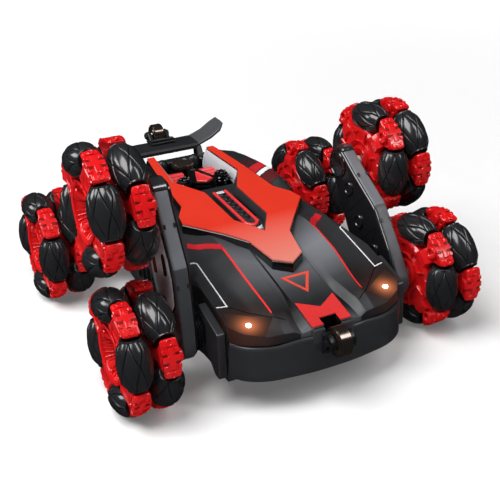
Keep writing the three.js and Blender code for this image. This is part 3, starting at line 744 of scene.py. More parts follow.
def build_wheel(body, side, phase):
    """An omni wheel: frame, two rows of four rollers with the tabs between them, and its screw."""
    centre = joint_at[f"{body}_spin"].copy()
    centre.x = side * TRACK_HALF
    turn = Matrix.Rotation(math.radians(phase), 4, "X")
    if side < 0:
        turn = turn @ Matrix.Rotation(math.pi, 4, "Y")
    base = Matrix.Translation(centre * MM) @ turn

    def at(angle, offset, radius=0.0):
        spin = Matrix.Rotation(math.radians(angle), 4, "X")
        return base @ spin @ Matrix.Translation(Vector((offset, radius, 0)) * MM)

    piece(f"{body}_frame", HUB, "wheel_red", body, base, [f"{body}_hub"])
    for row, offset, start in (("outer", ROW, 0), ("inner", -ROW, 45)):
        for k in range(4):
            angle = start + 90 * k
            roller = piece(f"{body}_{row}_roller_{k + 1}", ROLLER, "rubber bush", body,
                           at(angle, offset, ROLLER_CIRCLE))
            if k == 0:
                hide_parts(f"{body}_{row}_rollers")
            piece(f"{body}_{row}_tab_{k + 1}", TABS[row], "wheel_red slot_red", body,
                  at(angle + 45, offset))
    piece(f"{body}_screw", WHEEL_SCREW, "steel", body, at(0, 7.6))


for wheel in WHEELS:
    build_wheel(*wheel)

# ---- body shell ---------------------------------------------------------------------------------
# Body shapes are given in (x, y behind the front axle, z), and placed at the axle.

AT_AXLE = Matrix.Translation((0, front_axle.y * MM, 0))
REAR_AXLE = (0, 151, 37.5)


def body_piece(name, bm, angle, mats, replaces=()):
    """A piece of the body, from a shape given in millimetres from the front axle's foot."""
    return piece(name, finish_mesh(bm, name, angle), mats, "chassis", AT_AXLE, replaces)


# The hood's height along its middle, its height limit towards its sides, and its half width.
HOOD_TOP = [(-47.5, 49), (-28, 54.2), (-2, 60.3), (25, 66.3), (60, 68.5), (110, 71.5), (152, 73),
            (172, 70), (190, 66)]
HOOD_SIDE = [(38, 80), (47, 69.5), (57, 62), (60, 57)]
HOOD_HALF = [(-47.5, 12), (-44, 39), (-37.5, 51), (-29.5, 56.5), (4, 57), (25, 60), (48, 60), (78, 50),
             (168, 48), (190, 42)]
ROOF_TOP = [(-10, 66.5), (40, 74.4), (170, 81.8)]
RIDGE_X = 31.4           # the creases behind the lamps
SHOULDER_X = 45.5        # the raised shoulders over the rear wheels
SHOULDER = [(84, 70), (94, 76.4), (108, 78.2), (125, 77.2), (150, 74.2), (170, 70.6), (186, 66.5)]
WELL = {"x": 20, "y": (112, 174), "floor": 66}
SLOT_X = 5.4             # half the nose slot's width
SLOT_FLOOR = 41


def valley(y):
    """The black valley beside the middle strip: (inner x, outer x, depth)."""
    inner = 13.3
    outer = inner + 0.9 + 4.2 * smoothstep(0, 1, (-12.5 - y) / 30)
    depth = 0.9 + 1.5 * smoothstep(0, 1, (-10 - y) / 16)
    return inner, outer, depth * (1 - smoothstep(20, 32, y))


def ridge_x(y):
    """Distance from the middle of the crease that the red line follows."""
    return RIDGE_X - 2.1 * (1 - smoothstep(-28, 8, y))


def hood_z(x, y):
    """Height of the hood without its openings."""
    x = abs(x)
    z = hood_middle_z(y)
    if x > HOOD_SIDE[0][0]:
        z = min(z, interpolate(HOOD_SIDE, x))
    ridge = (2.4 * smoothstep(-47, -34, y) + 2.4 * smoothstep(-26, 10, y)) * (1 - smoothstep(36, 66, y))
    crease = ridge_x(y)
    run = 13.5 if x < crease else 11
    z += ridge * max(0.0, 1 - abs(x - crease) / run)
    if y > SHOULDER[0][0]:
        rise = smoothstep(30, SHOULDER_X, x) - smoothstep(SHOULDER_X, 51, x)
        z += max(0.0, interpolate(SHOULDER, y) - z) * rise
    inner, outer, depth = valley(y)
    if inner < x < outer:
        z -= depth * (x - inner) / (outer - inner)
    elif x >= outer:
        z -= depth * (1 - smoothstep(outer, outer + 5, x))
    return z


def hood_middle_z(y):
    """Height of the hood's middle strip, with its kinks softened."""
    return sum(interpolate(HOOD_TOP, y + d) for d in (-3, 0, 3)) / 3


def roof_z(y):
    """Height of the red sheet's top."""
    return interpolate(ROOF_TOP, y)


def hood_columns(y):
    """Distances from the middle at which the hood's mesh has an edge."""
    inner, outer, _ = valley(y)
    side = interpolate(HOOD_HALF, y)
    well = max(WELL["x"] - 0.2, outer + 5.4)
    crease = ridge_x(y)
    middle = [2.7, SLOT_X - 0.1, SLOT_X + 0.1, 9, 12.4, inner - 0.3, inner, (inner + outer) / 2]
    slope = [outer + gap for gap in (0, 0.4, 1.6, 3.2, 5)] + [well, well + 0.4, 25.5]
    ridge = [crease + gap for gap in (-2, -0.4, 0, 0.4, 1.8)]
    flank = [34.4, 36.3, 38.5, 41, 44, 46.6, 47.4, 50, 53, 56.4, 57.4]
    return [min(x, side) for x in middle + slope + ridge + flank] + [side, side]


HOOD_ROWS = (steps(-47.5, -44, 0.5) + steps(-43, -42, 0.5) + [-41.6, -41.4] + steps(-40, 68, 2)
             + steps(72, 108, 4) + [111.9, 112.1] + steps(116, 172, 4) + [173.9, 174.1]
             + steps(178, 190, 4))
HOOD_COLUMNS = len(hood_columns(0))


def hood_top(i, y):
    """The outer surface at a column, counted from the middle, and a distance behind the front axle."""
    x = math.copysign(hood_columns(y)[abs(i) - 1], i) if i else 0.0
    z = hood_z(x, y)
    if abs(x) < SLOT_X and y < -41.5:
        z = SLOT_FLOOR
    if abs(x) < WELL["x"] and WELL["y"][0] < y < WELL["y"][1]:
        z = WELL["floor"]
    if abs(i) == HOOD_COLUMNS:
        z = min(z - 0.5, 44.2 if y < -29.2 else 50.2)
    return (x, y, z)


def hood_bottom(i, y):
    """The inner surface, which meets the outer one at the rim."""
    x, y, z = hood_top(i, y)
    return (x * 0.97, y + (0.8 if y < -47 else 0), z - 1.6 if abs(i) < HOOD_COLUMNS else z)


def hood_material(middle, normal):
    """0 outer dark grey with painted light and shade, 1 gloss black in the openings, 2 the band with a
    painted highlight on its upward faces, 3 the valleys with painted light at their front ends.
    """
    x, y = abs(middle.x), middle.y
    inner, outer, _ = valley(y)
    in_slot = x < SLOT_X + 0.2 and y < -41.3
    in_well = x < WELL["x"] + 0.3 and WELL["y"][0] - 0.5 < y < WELL["y"][1] + 0.5
    if in_slot or in_well:
        return 1
    if inner < x < outer and y < 30:
        return 3
    return 2 if x < ridge_x(y) and y < 60 and normal.z > 0.5 else 0


def build_hood():
    """The body's skin, from its nose to its tail, with the nose slot and the engine well let in."""
    bm = bmesh.new()
    add_slab(bm, range(-HOOD_COLUMNS, HOOD_COLUMNS + 1), HOOD_ROWS, hood_top, hood_bottom)
    bmesh.ops.remove_doubles(bm, verts=bm.verts, dist=0.001)
    for face in bm.faces:
        face.material_index = hood_material(face.calc_center_median(), face.normal)
    body_piece("hood_skin", bm, 24, "hood gloss_black hood_band valley", ["hood_shell"])


PRINT_DEPTH = 0.4


def on_hood(bm, edge_a, edge_b, lift=0.14, mat=0, size=2.0):
    """A thin printed patch that lies on the hood between two polylines of the same length."""
    stations = []
    for i in range(len(edge_a) - 1):
        ends = [Vector(p) for p in (edge_a[i], edge_a[i + 1], edge_b[i], edge_b[i + 1])]
        length = max((ends[1] - ends[0]).length, (ends[3] - ends[2]).length)
        for t in steps(0, 1, size / max(length, size))[0 if i == 0 else 1:]:
            stations.append((ends[0].lerp(ends[1], t), ends[2].lerp(ends[3], t)))
    width = max((a - b).length for a, b in stations)

    def at(height):
        def point(i, t):
            a, b = stations[i]
            p = a.lerp(b, t)
            return (p.x, p.y, hood_z(p.x, p.y) + height)
        return point

    across = steps(0, 1, min(1, size / max(width, 0.1)))
    add_slab(bm, range(len(stations)), across, at(lift), at(lift - PRINT_DEPTH), mat)


def on_one_side(bm, edge_a, edge_b, side, **options):
    """A patch given for the car's left, on one side of it."""
    edges = [[(x * side, y) for x, y in edge] for edge in (edge_a, edge_b)]
    on_hood(bm, *edges, **options)


def on_both_sides(bm, edge_a, edge_b, **options):
    """A patch given for the car's left, and its mirror image."""
    for side in SIDES:
        on_one_side(bm, edge_a, edge_b, side, **options)


def stroke(bm, line, width, **options):
    """A printed line of even width, mirrored to both sides."""
    edges = []
    for sign in (-0.5, 0.5):
        edge = []
        for i, here in enumerate(line):
            here = Vector(here)
            before = (here - Vector(line[max(i - 1, 0)])) or (Vector(line[1]) - here)
            after = (Vector(line[min(i + 1, len(line) - 1)]) - here) or before
            a, b = before.normalized(), after.normalized()
            normal = Vector((-a.y, a.x)) + Vector((-b.y, b.x))
            edge.append(tuple(here + normal * (sign * width / max(0.5, 1 + a.dot(b)))))
        edges.append(edge)
    on_both_sides(bm, edges[0], edges[1], **options)


def build_prints():
    """Stripes, the corner line, the forward-pointing triangle and the shoulder panels."""
    bm = bmesh.new()
    lengthwise = steps(-31, 28, 4)
    inner = [(ridge_x(y) + 0.9, y) for y in lengthwise]
    outer = [(ridge_x(y) - 0.2 * smoothstep(-31, 0, y), y + 0.8) for y in lengthwise]
    on_both_sides(bm, inner, outer, mat=0, size=1.5)
    near = [(RIDGE_X + 0.6, 26), (38.6, 35.4), (47.6, 43.5)]
    far = [(RIDGE_X - 0.8, 30.5), (37, 40), (45.6, 49)]
    on_both_sides(bm, near, far, mat=1, size=1.5, lift=0.3)
    stroke(bm, [(52.6, 28.2), (49.8, 25.2), (49.6, -14.9), (55.6, -13.6)], 0.75, mat=2)
    triangle = [(-9.6, -4.4), (9.6, -4.4), (0, -20.6)]
    inside = inset_outline(list(reversed(triangle)), 1.7)
    inside.reverse()
    for i in range(3):
        j = (i + 1) % 3
        on_hood(bm, [triangle[i], triangle[j]], [inside[i], inside[j]], mat=3)
    for y0, y1, mat in ((96, 108, 4), (109.4, 114.6, 2), (116.2, 126.2, 1)):
        on_both_sides(bm, [(36.5, y0), (36.5, y1)], [(45.2, y0), (45.2, y1)], mat=mat, size=1.5)
    for row in range(6):
        for column in range(4):
            if (row + column) % 2:
                y, x = 128 + row * 2.3, 36.8 + column * 2.1
                on_both_sides(bm, [(x, y), (x, y + 1.9)], [(x + 1.8, y), (x + 1.8, y + 1.9)], mat=4)
    body_piece("hood_prints", bm, 30, "print_bright print_red print_white print_orange print_dark")


ROOF_HALF = [(0, -2.6), (10, 4.4), (14.4, 27), (42.3, 62), (40.5, 72), (33.5, 84), (31, 120), (26, 163),
             (20.5, 163), (24.5, 119), (11.7, 95), (11.6, 52), (0, 32.5)]


def lifted(verts, height):
    """Moves a flat shape up to a surface."""
    for vert in verts:
        vert.co.z += height(vert.co.x, vert.co.y)


def build_roof():
    """The red sheet, and the black plinth between it and the hood."""
    outline = both_sides(ROOF_HALF)
    bends = steps(-5, 165, 5)
    sheet = bmesh.new()
    add_plate(sheet, outline, [(0.5, -1.7), (0, -1.2), (0, -0.5), (0.2, -0.12), (0.6, 0)])
    cut_across(sheet, "y", bends)
    lifted(sheet.verts, lambda x, y: roof_z(y))
    body_piece("roof_sheet", sheet, 28, "roof_red", ["roof_panel"])
    base = bmesh.new()
    levels = [(-0.2, 0.0), (-0.5, 0.35), (-0.5, 0.72), (-0.25, 0.86), (0.3, 0.93), (1.0, 0.93)]
    add_plate(base, outline, levels)
    cut_across(base, "y", bends)
    for vert in base.verts:
        x, y, share = vert.co
        low = min(hood_z(x, y), hood_middle_z(y)) + 0.1
        vert.co.z = low + (roof_z(y) - 0.9 - low) * share
    body_piece("roof_plinth", base, 24, "gloss_black", ["roof_base"])


def build_nose():
    """The red badge on the nose, notched for the front roller."""
    bm = bmesh.new()
    badge = [(SLOT_X, -46.8), (12.7, -46.8), (12.5, -26.5), (0, -34), (-12.5, -26.5), (-12.7, -46.8),
             (-SLOT_X, -46.8), (-SLOT_X, -41.4), (SLOT_X, -41.4)]
    add_plate(bm, badge, [(0.15, -0.4), (0, 0.2), (0, 0.55), (0.15, 0.8), (0.45, 0.9)])
    cut_across(bm, "y", steps(-46, -28, 2))
    lifted(bm.verts, hood_z)
    body_piece("nose_badge", bm, 28, "nose_red", ["nose_panel"])


def build_tongue():
    """The front end of the middle strip, which comes down to the bumper round the roller's slot."""
    bm = bmesh.new()
    for x0, x1, top in ((-13.2, -5.6, 48.6), (-5.6, 5.6, 43.6), (5.6, 13.2, 48.6)):
        outline = rectangle((x0, x1), (-49.4, -46.6))
        add_plate(bm, outline, [(0.1, 37.6), (0, 38.0), (0, top - 0.7), (0.15, top - 0.2), (0.6, top)])
    # the tongue takes the band's painted highlight colour
    body_piece("nose_tongue", bm, 30, "hood_band")


CHANNEL_LINE = [(24.3, 118), (11.7, 95), (11.6, 52), (0, 32.5), (-11.6, 52), (-11.7, 95), (-24.3, 118)]
CHANNEL_INNER = [(21.6, 117.4), (9.6, 95.4), (9.5, 52.8), (0, 36.4), (-9.5, 52.8), (-9.6, 95.4),
                 (-21.6, 117.4)]


def between(line, i):
    """The point at a place along a polyline, counted in corners."""
    low = min(int(i), len(line) - 2)
    return Vector(line[low]).lerp(Vector(line[low + 1]), i - low)


def build_channel_rim():
    """The bevelled rim of the recess in the roof's fork."""
    def rim_at(drop, extra):
        def point(i, t):
            p = between(CHANNEL_LINE, i).lerp(between(CHANNEL_INNER, i), t)
            floor = hood_z(0, p.y) + 0.6
            high = roof_z(p.y) - 0.7
            shape = interpolate([(0, 1), (0.3, 1), (0.45, 0.88), (1, 0.1)], t)
            return (p.x, p.y, floor + (high - floor) * shape * (1 - drop) - extra)
        return point

    bm = bmesh.new()
    along = steps(0, len(CHANNEL_LINE) - 1, 0.25)
    add_slab(bm, along, [0, 0.15, 0.3, 0.45, 0.7, 1.0], rim_at(0, 0), rim_at(1, 0.3))
    body_piece("channel_rim", bm, 22, "recess")


def on_channel_floor(_, y):
    """Height of the recess's floor."""
    return interpolate(HOOD_TOP, y) + 0.3


def build_ladder():
    """The strip along the recess: red rails, black teeth and a silver tip."""
    bm = bmesh.new()
    strip = both_sides([(0, 44.2), (3.2, 46.4), (5.2, 50), (5.2, 98), (0, 98)])
    add_plate(bm, strip, [(0, 0.2), (0, 2.6), (0.3, 2.9)])
    rail = [(3.2, 50.4), (5.1, 50.2), (5.1, 97.9), (3.2, 97.9)]
    nib = [(0, 45.4), (2.6, 46.8), (5.1, 50.2), (3.2, 51), (1.6, 48.6), (0, 47.8)]
    for side in SIDES:
        for outline in (rail, nib):
            add_plate(bm, mirrored(outline, side), [(0, 2.0), (0, 3.7), (0.3, 4.0)], mat=1)
    for k in range(7):
        y = 57 + 6 * k
        tooth = [(-2.6, y), (-0.4, y - 1.6), (2.6, y + 0.4), (2.6, y + 2.8), (0.4, y + 0.9),
                 (-2.6, y + 2.4)]
        add_plate(bm, tooth, [(0, 2.5), (0, 3.3), (0.25, 3.6)], mat=2)
    tip = [(-3.6, 41.6), (3.6, 41.6), (5.0, 46.2), (3.0, 45.0), (0, 43.8), (-3.0, 45.0), (-5.0, 46.2)]
    add_plate(bm, tip, [(0, 0.2), (0, 2.6), (0.5, 3.1)], mat=3)
    add_box(bm, (-2.6, 2.6), (94.6, 97.6), (2, 3.8), 0.3, mat=3)
    cut_across(bm, "y", [60])
    lifted(bm.verts, on_channel_floor)
    body_piece("roof_ladder", bm, 30, "hood trim_red black silver", ["light_strip"])


def build_channel_slots():
    """The two long rounded slots beside the ladder."""
    bm = bmesh.new()
    slot = rounded(rectangle((6.4, 8.9), (60, 90)), 1.2)
    for side in SIDES:
        add_plate(bm, mirrored(slot, side), [(0.2, 0.1), (0, 0.5), (0.0, 0.75), (0.4, 0.75), (0.5, 0.3)])
    lifted(bm.verts, on_channel_floor)
    body_piece("channel_slots", bm, 30, "gloss_black")


FLOOR = WELL["floor"]
CAP_PLACE = (0, 160, FLOOR)


def above_floor(levels):
    """(inset, height) levels given from the well's floor."""
    return [(inset, FLOOR + w) for inset, w in levels]


def build_engine_housing():
    """The hex cover, the filler's base and two bolted posts, on the sunk deck behind the fork."""
    bm = bmesh.new()
    cover = both_sides([(0, 114.8), (7.6, 118.4), (9.2, 123.4), (8.0, 129), (3.4, 145), (0, 145)])
    levels = [(0, 0.3), (0, 5.6), (0.8, 6.8), (1.5, 6.8), (1.5, 7.6), (0, 7.9), (0, 8.3), (0.5, 8.6),
              (1.6, 8.6), (2.1, 7.9)]
    add_plate(bm, cover, above_floor(levels))
    add_lathe(bm, [(0, 0.3), (7.6, 0.3), (7.6, 4.6), (7.0, 5.2), (0, 5.2)], 40, "z", CAP_PLACE)
    post = [(0, 0.2), (5.2, 0.2), (5.2, 5.6), (4.6, 6.4), (5.6, 6.8), (5.7, 7.9), (5.0, 8.4), (0, 8.4)]
    nut = [(0, 8.3), (4.9, 8.3), (4.9, 9.6), (4.2, 10.5), (2.4, 10.5), (2.1, 9.7), (0, 9.7)]
    for side in SIDES:
        x, y = 14.0 * side, 124.5
        add_lathe(bm, post, 28, "z", (x, y, FLOOR))
        add_lathe(bm, nut, 6, "z", (x, y, FLOOR), turn=0.5)
        for k in range(6):
            angle = math.radians(60 * k)
            u, v = x + 2.9 * math.cos(angle), y + 2.9 * math.sin(angle)
            add_box(bm, (u - 0.65, u + 0.65), (v - 0.65, v + 0.65), (FLOOR + 10.2, FLOOR + 11.4), 0.2)
    body_piece("engine_housing", bm, 30, "gloss_black", ["engine_cover"])


def build_engine_trim():
    """The red badge on the hex cover and three red ribs on each side of it."""
    bm = bmesh.new()
    badge = both_sides([(0, 117.6), (6.0, 121.2), (0, 138.2)])
    add_plate(bm, badge, above_floor([(0, 7.5), (0, 8.9), (0.3, 9.2), (0.9, 9.2), (1.1, 8.95)]))
    for side in SIDES:
        for k in range(3):
            y = 132.6 + 5.6 * k
            foot = 8.2 - 1.2 * k
            rib = [(foot, y), (17.4, y + 0.8), (17.4, y + 4.4), (foot, y + 3.6)]
            add_plate(bm, mirrored(rib, side), above_floor([(0, 0.5), (0, 5.2), (0.7, 6.2)]))
    body_piece("engine_trim", bm, 30, "trim_red")


def build_filler_cap():
    """A round cap with a milled edge."""
    bm = bmesh.new()
    profile = [(0, 4.9), (7.8, 4.9), (8.0, 5.6), (8.0, 7.4), (7.5, 8.2), (6.6, 8.4), (6.3, 8.15), (0, 8.15)]
    add_lathe(bm, profile, 48, "z", CAP_PLACE)
    grip = [(0, 5.7), (0.5, 5.7), (0.5, 7.4), (0, 7.4)]
    for k in range(24):
        angle = 2 * math.pi * k / 24
        add_lathe(bm, grip, 8, "z", (7.9 * math.cos(angle), CAP_PLACE[1] + 7.9 * math.sin(angle), FLOOR))
    body_piece("filler_cap", bm, 35, "cap_brown", ["fuel_cap"])


def build_well_walls():
    """Silver walls that curve from the roof down to the deck."""
    def wall(side, back):
        def point(y, t):
            edge = interpolate([(112, 21.5), (119, 24.3), (163, 20.6)], y)
            top = roof_z(y) - 1.9
            turn = t * math.pi / 2
            x = edge - 0.1 - 4.2 * math.sin(turn) + back
            return (side * x, y, top + (FLOOR + 0.5 - top) * (1 - math.cos(turn)))
        return point

    bm = bmesh.new()
    for side in SIDES:
        add_slab(bm, steps(114, 162, 4), steps(0, 1, 0.125), wall(side, 0), wall(side, 1.0))
    body_piece("well_walls", bm, 30, "silver")


def build_well_seats():
    """Two domes and a low wall at the back of the deck."""
    bm = bmesh.new()
    dome = [(0, 0.2), (6.2, 0.2), (6.2, 3.4), (5.6, 6.4), (3.9, 8.8), (1.8, 9.8), (0, 10)]
    for side in SIDES:
        for vert in add_lathe(bm, dome, 32, "z"):
            vert.co = (side * 12.6 + vert.co.x * 0.8, 169 + vert.co.y * 0.72, FLOOR + vert.co.z * 0.9)
    back = both_sides([(0, 171.2), (15, 171.2), (19.4, 168), (19.4, 173.4), (0, 173.4)])
    add_plate(bm, back, above_floor([(0.2, 0.3), (0, 1), (0, 4.4), (0.8, 5.2)]))
    body_piece("well_seats", bm, 30, "black")


build_hood()
build_prints()
build_roof()
build_nose()
build_tongue()
build_channel_rim()
build_ladder()
build_channel_slots()
build_engine_housing()
build_engine_trim()
build_filler_cap()
build_well_walls()
build_well_seats()

# ---- bumper, fins, lamps ------------------------------------------------------------------------


def along_path(points, section):
    """Rings of a (outwards, z) section carried along a plan path, square to it."""
    rings = []
    for i, here in enumerate(points):
        here = Vector(here)
        travel = Vector(points[min(i + 1, len(points) - 1)]) - Vector(points[max(i - 1, 0)])
        out = Vector((travel.y, -travel.x)).normalized()
        rings.append([(here.x + out.x * d, here.y + out.y * d, z) for d, z in section(here)])
    return rings


def open_curve(points, reach, count):
    """A polyline with its inner corners rounded."""
    curve = rounded(points, reach, count)
    return [points[0]] + curve[count + 1:-(count + 1)] + [points[-1]]


BUMPER_NOTCH = (12.6, 13.4)


def build_bumper():
    """The front bumper, crowned in the middle and notched for the roller's fork."""
    half = [(13, -50.5), (40, -46.8), (52.5, -39.5), (57, -31)]
    curve = open_curve([(-x, y) for x, y in reversed(half)] + half, 9, 6)
    across = sorted([x for x, _ in curve] + [edge * side for edge in BUMPER_NOTCH for side in SIDES])
    path = [(x, interpolate(curve, x)) for x in across]

    def section(here):
        x = abs(here.x)
        rise = 1.3 * (1 - smoothstep(24, 34, x)) - 4.2 * (1 - smoothstep(*BUMPER_NOTCH, x))
        dip = min(rise, 0)
        return [(-2.6, 22.2), (-0.9, 21.8), (-0.2, 22.3), (0.0, 23.4), (0.0, 25.0), (-0.15, 33.0),
                (-0.3, 41.6 + rise), (-0.7, 43.0 + rise), (-1.5, 43.7 + rise), (-2.6, 43.5 + rise),
                (-2.9, 42.6 + dip), (-7.5, 42.4 + dip), (-7.5, 41.2 + dip), (-2.9, 40.6 + dip)]

    bm = bmesh.new()
    add_rings(bm, along_path(path, section))
    body_piece("bumper_skin", bm, 40, "bumper", ["front_bumper"])


def build_fins():
    """The upright plate at each front corner."""
    bm = bmesh.new()
    fin = [(-29.5, 20.5), (-24, 20.5), (-12.5, 31), (-12.5, 47), (-3, 53), (-3, 57), (-28.5, 49.2)]
    outline = rounded(fin, 1.6, 3)
    for side in SIDES:
        levels = [(0.4, 57.4), (0, 57.8), (0, 61.7), (0.35, 62.35), (0.9, 62.6)]
        add_plate(bm, outline, outward(levels, side), "x")
    body_piece("corner_fins", bm, 28, "bumper", ["left_fin", "right_fin"])


def build_lamps():
    """Smoked headlight lenses with a lit bulb in each, and the seams beside them."""
    for side, name in ((1, "left"), (-1, "right")):
        bm = bmesh.new()
        edge_a = [(56.2, -29.4), (50.3, -37.4), (40.6, -43.0)]
        edge_b = [(53.6, -19.5), (41.5, -26.5), (31.0, -34.0)]
        on_one_side(bm, edge_a, edge_b, side, lift=0.3, size=1.2)
        body_piece(f"{name}_lamp_glass", bm, 30, "lens", [f"{name}_headlight"])
        bulb = bmesh.new()
        profile = [(0, -0.5), (1.6, -0.5), (1.6, 0.4), (1.35, 0.85), (0.8, 1.15), (0, 1.25)]
        add_lathe(bulb, profile, 24, "z", (LAMP.x * side, LAMP.y, hood_z(LAMP.x, LAMP.y)))
        body_piece(f"{name}_lamp_bulb", bulb, 60, "lamp")
    seams = bmesh.new()
    stroke(seams, [(55.2, -12.5), (47, -17.5), (31.5, -33), (24.2, -37.2)], 0.5, lift=0.1)
    body_piece("lamp_seams", seams, 30, "gloss_black")


def screw_head(seat, sunk=0.0):
    """Profile of a small screw head on a seat at that distance along its axis."""
    head = [(0, -sunk), (2.1, -sunk), (2.1, 0.7), (1.6, 1.1), (0.8, 1.1), (0.7, 0.5), (0, 0.5)]
    return [(r, seat + t) for r, t in head]


def build_belt():
    """The ledge that closes the tray round the hood, with the louvred sills below it."""
    bm = bmesh.new()
    ledge = rounded(rectangle((-59.4, 59.4), (32, 185.6)), 4, 4)
    add_plate(bm, ledge, [(0.4, 49.9), (0, 50.2), (0, 50.9), (0.5, 51.4)])
    sill = rounded([(36, 22), (112, 22), (116, 26), (116, 46.5), (36, 46.5), (32, 42), (32, 26)], 2, 3)
    for side in SIDES:
        add_plate(bm, sill, outward([(0, 59.8), (0, 60.5), (0.5, 61.0)], side), "x")
        for k in range(6):
            low = 46 + 9 * k
            slat = [(low, 28), (low + 4.4, 28), (low + 8.4, 41), (low + 4, 41)]
            add_plate(bm, slat, outward([(0, 60.8), (0, 61.4), (0.9, 62.2)], side), "x", 1)
        for y, z in ((38, 42), (38, 26), (110, 42), (110, 26)):
            add_lathe(bm, outward(screw_head(60.8), side), 20, "x", (0, y, z), 2)
    body_piece("body_sills", bm, 30, "bumper gloss_black steel")


def build_belly():
    """The underside: grip ribs and screw on the battery door, the tray's screws and its moulded runners."""
    bm = bmesh.new()
    for k in range(6):
        y = 70 + 5 * k
        add_plate(bm, rectangle((-15, 15), (y, y + 2)), [(0.5, 16.4), (0.1, 16.7), (0, 17.2)])
    for x in (-38, 38):
        runner = rounded(rectangle((x - 4, x + 4), (44, 132)), 3, 3)
        add_plate(bm, runner, [(0.6, 16.2), (0.1, 16.6), (0, 17.2)])
    for x, y in ((0, 64), (44, 14), (-44, 14), (50, 178), (-50, 178), (28, -32), (-28, -32), (0, 150)):
        head = [(0, 17.1), (2.4, 17.1), (2.4, 16.6), (1.9, 16.1), (0.9, 16.1), (0.8, 16.6), (0, 16.6)]
        add_lathe(bm, head, 20, "z", (x, y, 0), 1)
    body_piece("belly_trim", bm, 30, "bumper steel")


def build_tail():
    """The rear panel over the tray: slatted grille, two reflectors and screws."""
    bm = bmesh.new()
    panel = [(-56, 21), (56, 21), (58.5, 24), (58.5, 48), (46, 64), (-46, 64), (-58.5, 48), (-58.5, 24)]
    panel = rounded(panel, 2, 3)
    add_plate(bm, panel, [(0, 185.4), (0, 186.4), (0.5, 187.0)], "y")
    for k in range(5):
        z = 28 + 4.2 * k
        slat = rectangle((-24, 24), (z, z + 2.4))
        add_plate(bm, slat, [(0, 186.8), (0, 187.4), (0.7, 188.4)], "y", 1)
    for side in SIDES:
        lamp = mirrored(rounded([(31, 40), (50, 37), (52, 42), (46, 50), (33, 47)], 1.5, 3), side)
        add_plate(bm, inset_outline(lamp, -0.9), [(0, 186.8), (0, 187.6), (0.4, 187.9)], "y", 1)
        add_plate(bm, lamp, [(0, 187.4), (0, 188.2), (0.7, 188.8)], "y", 3)
        for x, z in ((51 * side, 27), (29 * side, 58)):
            add_lathe(bm, screw_head(186.8), 20, "y", (x, 0, z), 2)
    body_piece("tail_panel", bm, 30, "bumper gloss_black steel reflector")


def build_gearbox_trim():
    """Ribs, screws and the axle's flange on each rear gearbox."""
    bm = bmesh.new()
    flange = [(0, 78.4), (8.6, 78.4), (8.6, 80.2), (8.0, 80.9), (5.6, 80.9), (5.2, 83.4), (4.4, 84.0),
              (3.4, 84.0), (3.4, 80.0), (0, 80.0)]
    for side in SIDES:
        add_lathe(bm, outward(flange, side), 40, "x", REAR_AXLE)
        for k in range(3):
            y = 143 + 6.5 * k
            rib = mirrored(rectangle((62, 77), (y, y + 1.4)), side)
            add_plate(bm, rib, [(0, 45), (0, 50.2), (0.3, 50.6)])
        for x, z in ((64, 29), (64, 45)):
            add_lathe(bm, screw_head(164.0, sunk=0.2), 20, "y", (x * side, 0, z), 1)
    body_piece("gearbox_trim", bm, 30, "bumper steel")


build_bumper()
build_fins()
build_lamps()
build_belt()
build_belly()
build_tail()
build_gearbox_trim()

# ---- spoiler and anti-roll rollers --------------------------------------------------------------


def build_spoiler():
    """The wing with upswept ends, its front lip and two struts."""
    bm = bmesh.new()
    height = [(0, 76), (25, 76), (35, 79.6), (42, 84.0), (46.5, 88.0)]
    stations = steps(0, 24, 4) + [24.9, 25.1, 28, 31, 35, 38.5, 42, 44, 45.4, 46.2, 46.5]
    stations = [-x for x in reversed(stations[1:])] + stations
    rings = []
    for x in stations:
        z = interpolate(height, abs(x))
        slope = interpolate(height, abs(x) + 0.1) - interpolate(height, abs(x) - 0.1)
        lean = math.copysign(math.atan(slope / 0.2), x) if abs(x) > 25 else 0.0
        tip = smoothstep(42, 46.8, abs(x))
        front, back = 187 + 4.2 * tip, 207 - 3.2 * tip
        section = [(front, -2.2), (front - 0.2, -0.9), (front + 0.6, -0.2), (front + 1.8, 0),
                   (back - 1.2, 0), (back, -0.6), (back, -2.2), (back - 0.8, -2.9), (front + 1, -2.9)]
        rings.append([(x - d * math.sin(lean), y, z + d * math.cos(lean)) for y, d in section])
    add_rings(bm, rings)
    for face in bm.faces:
        if abs(face.calc_center_median().x) > 25:
            face.material_index = 1
    lip = [(-24, 186.2), (24, 186.2), (24, 188.4), (-24, 188.4)]
    add_plate(bm, lip, [(0, 72.2), (0, 74.6), (0.3, 75.0)])
    for side in SIDES:
        strut = [(180, 65.6), (192, 65.0), (193.5, 73.6), (186.5, 73.6), (184, 69)]
        outline = rounded(strut, 1.0, 2)
        low, high = sorted((22.6 * side, 27 * side))
        add_plate(bm, outline, box_levels(low, high, 0.4), "x")
    body_piece("spoiler_wing", bm, 30, "spoiler spoiler_end", ["spoiler"])


ROLLER_FACETS = 10


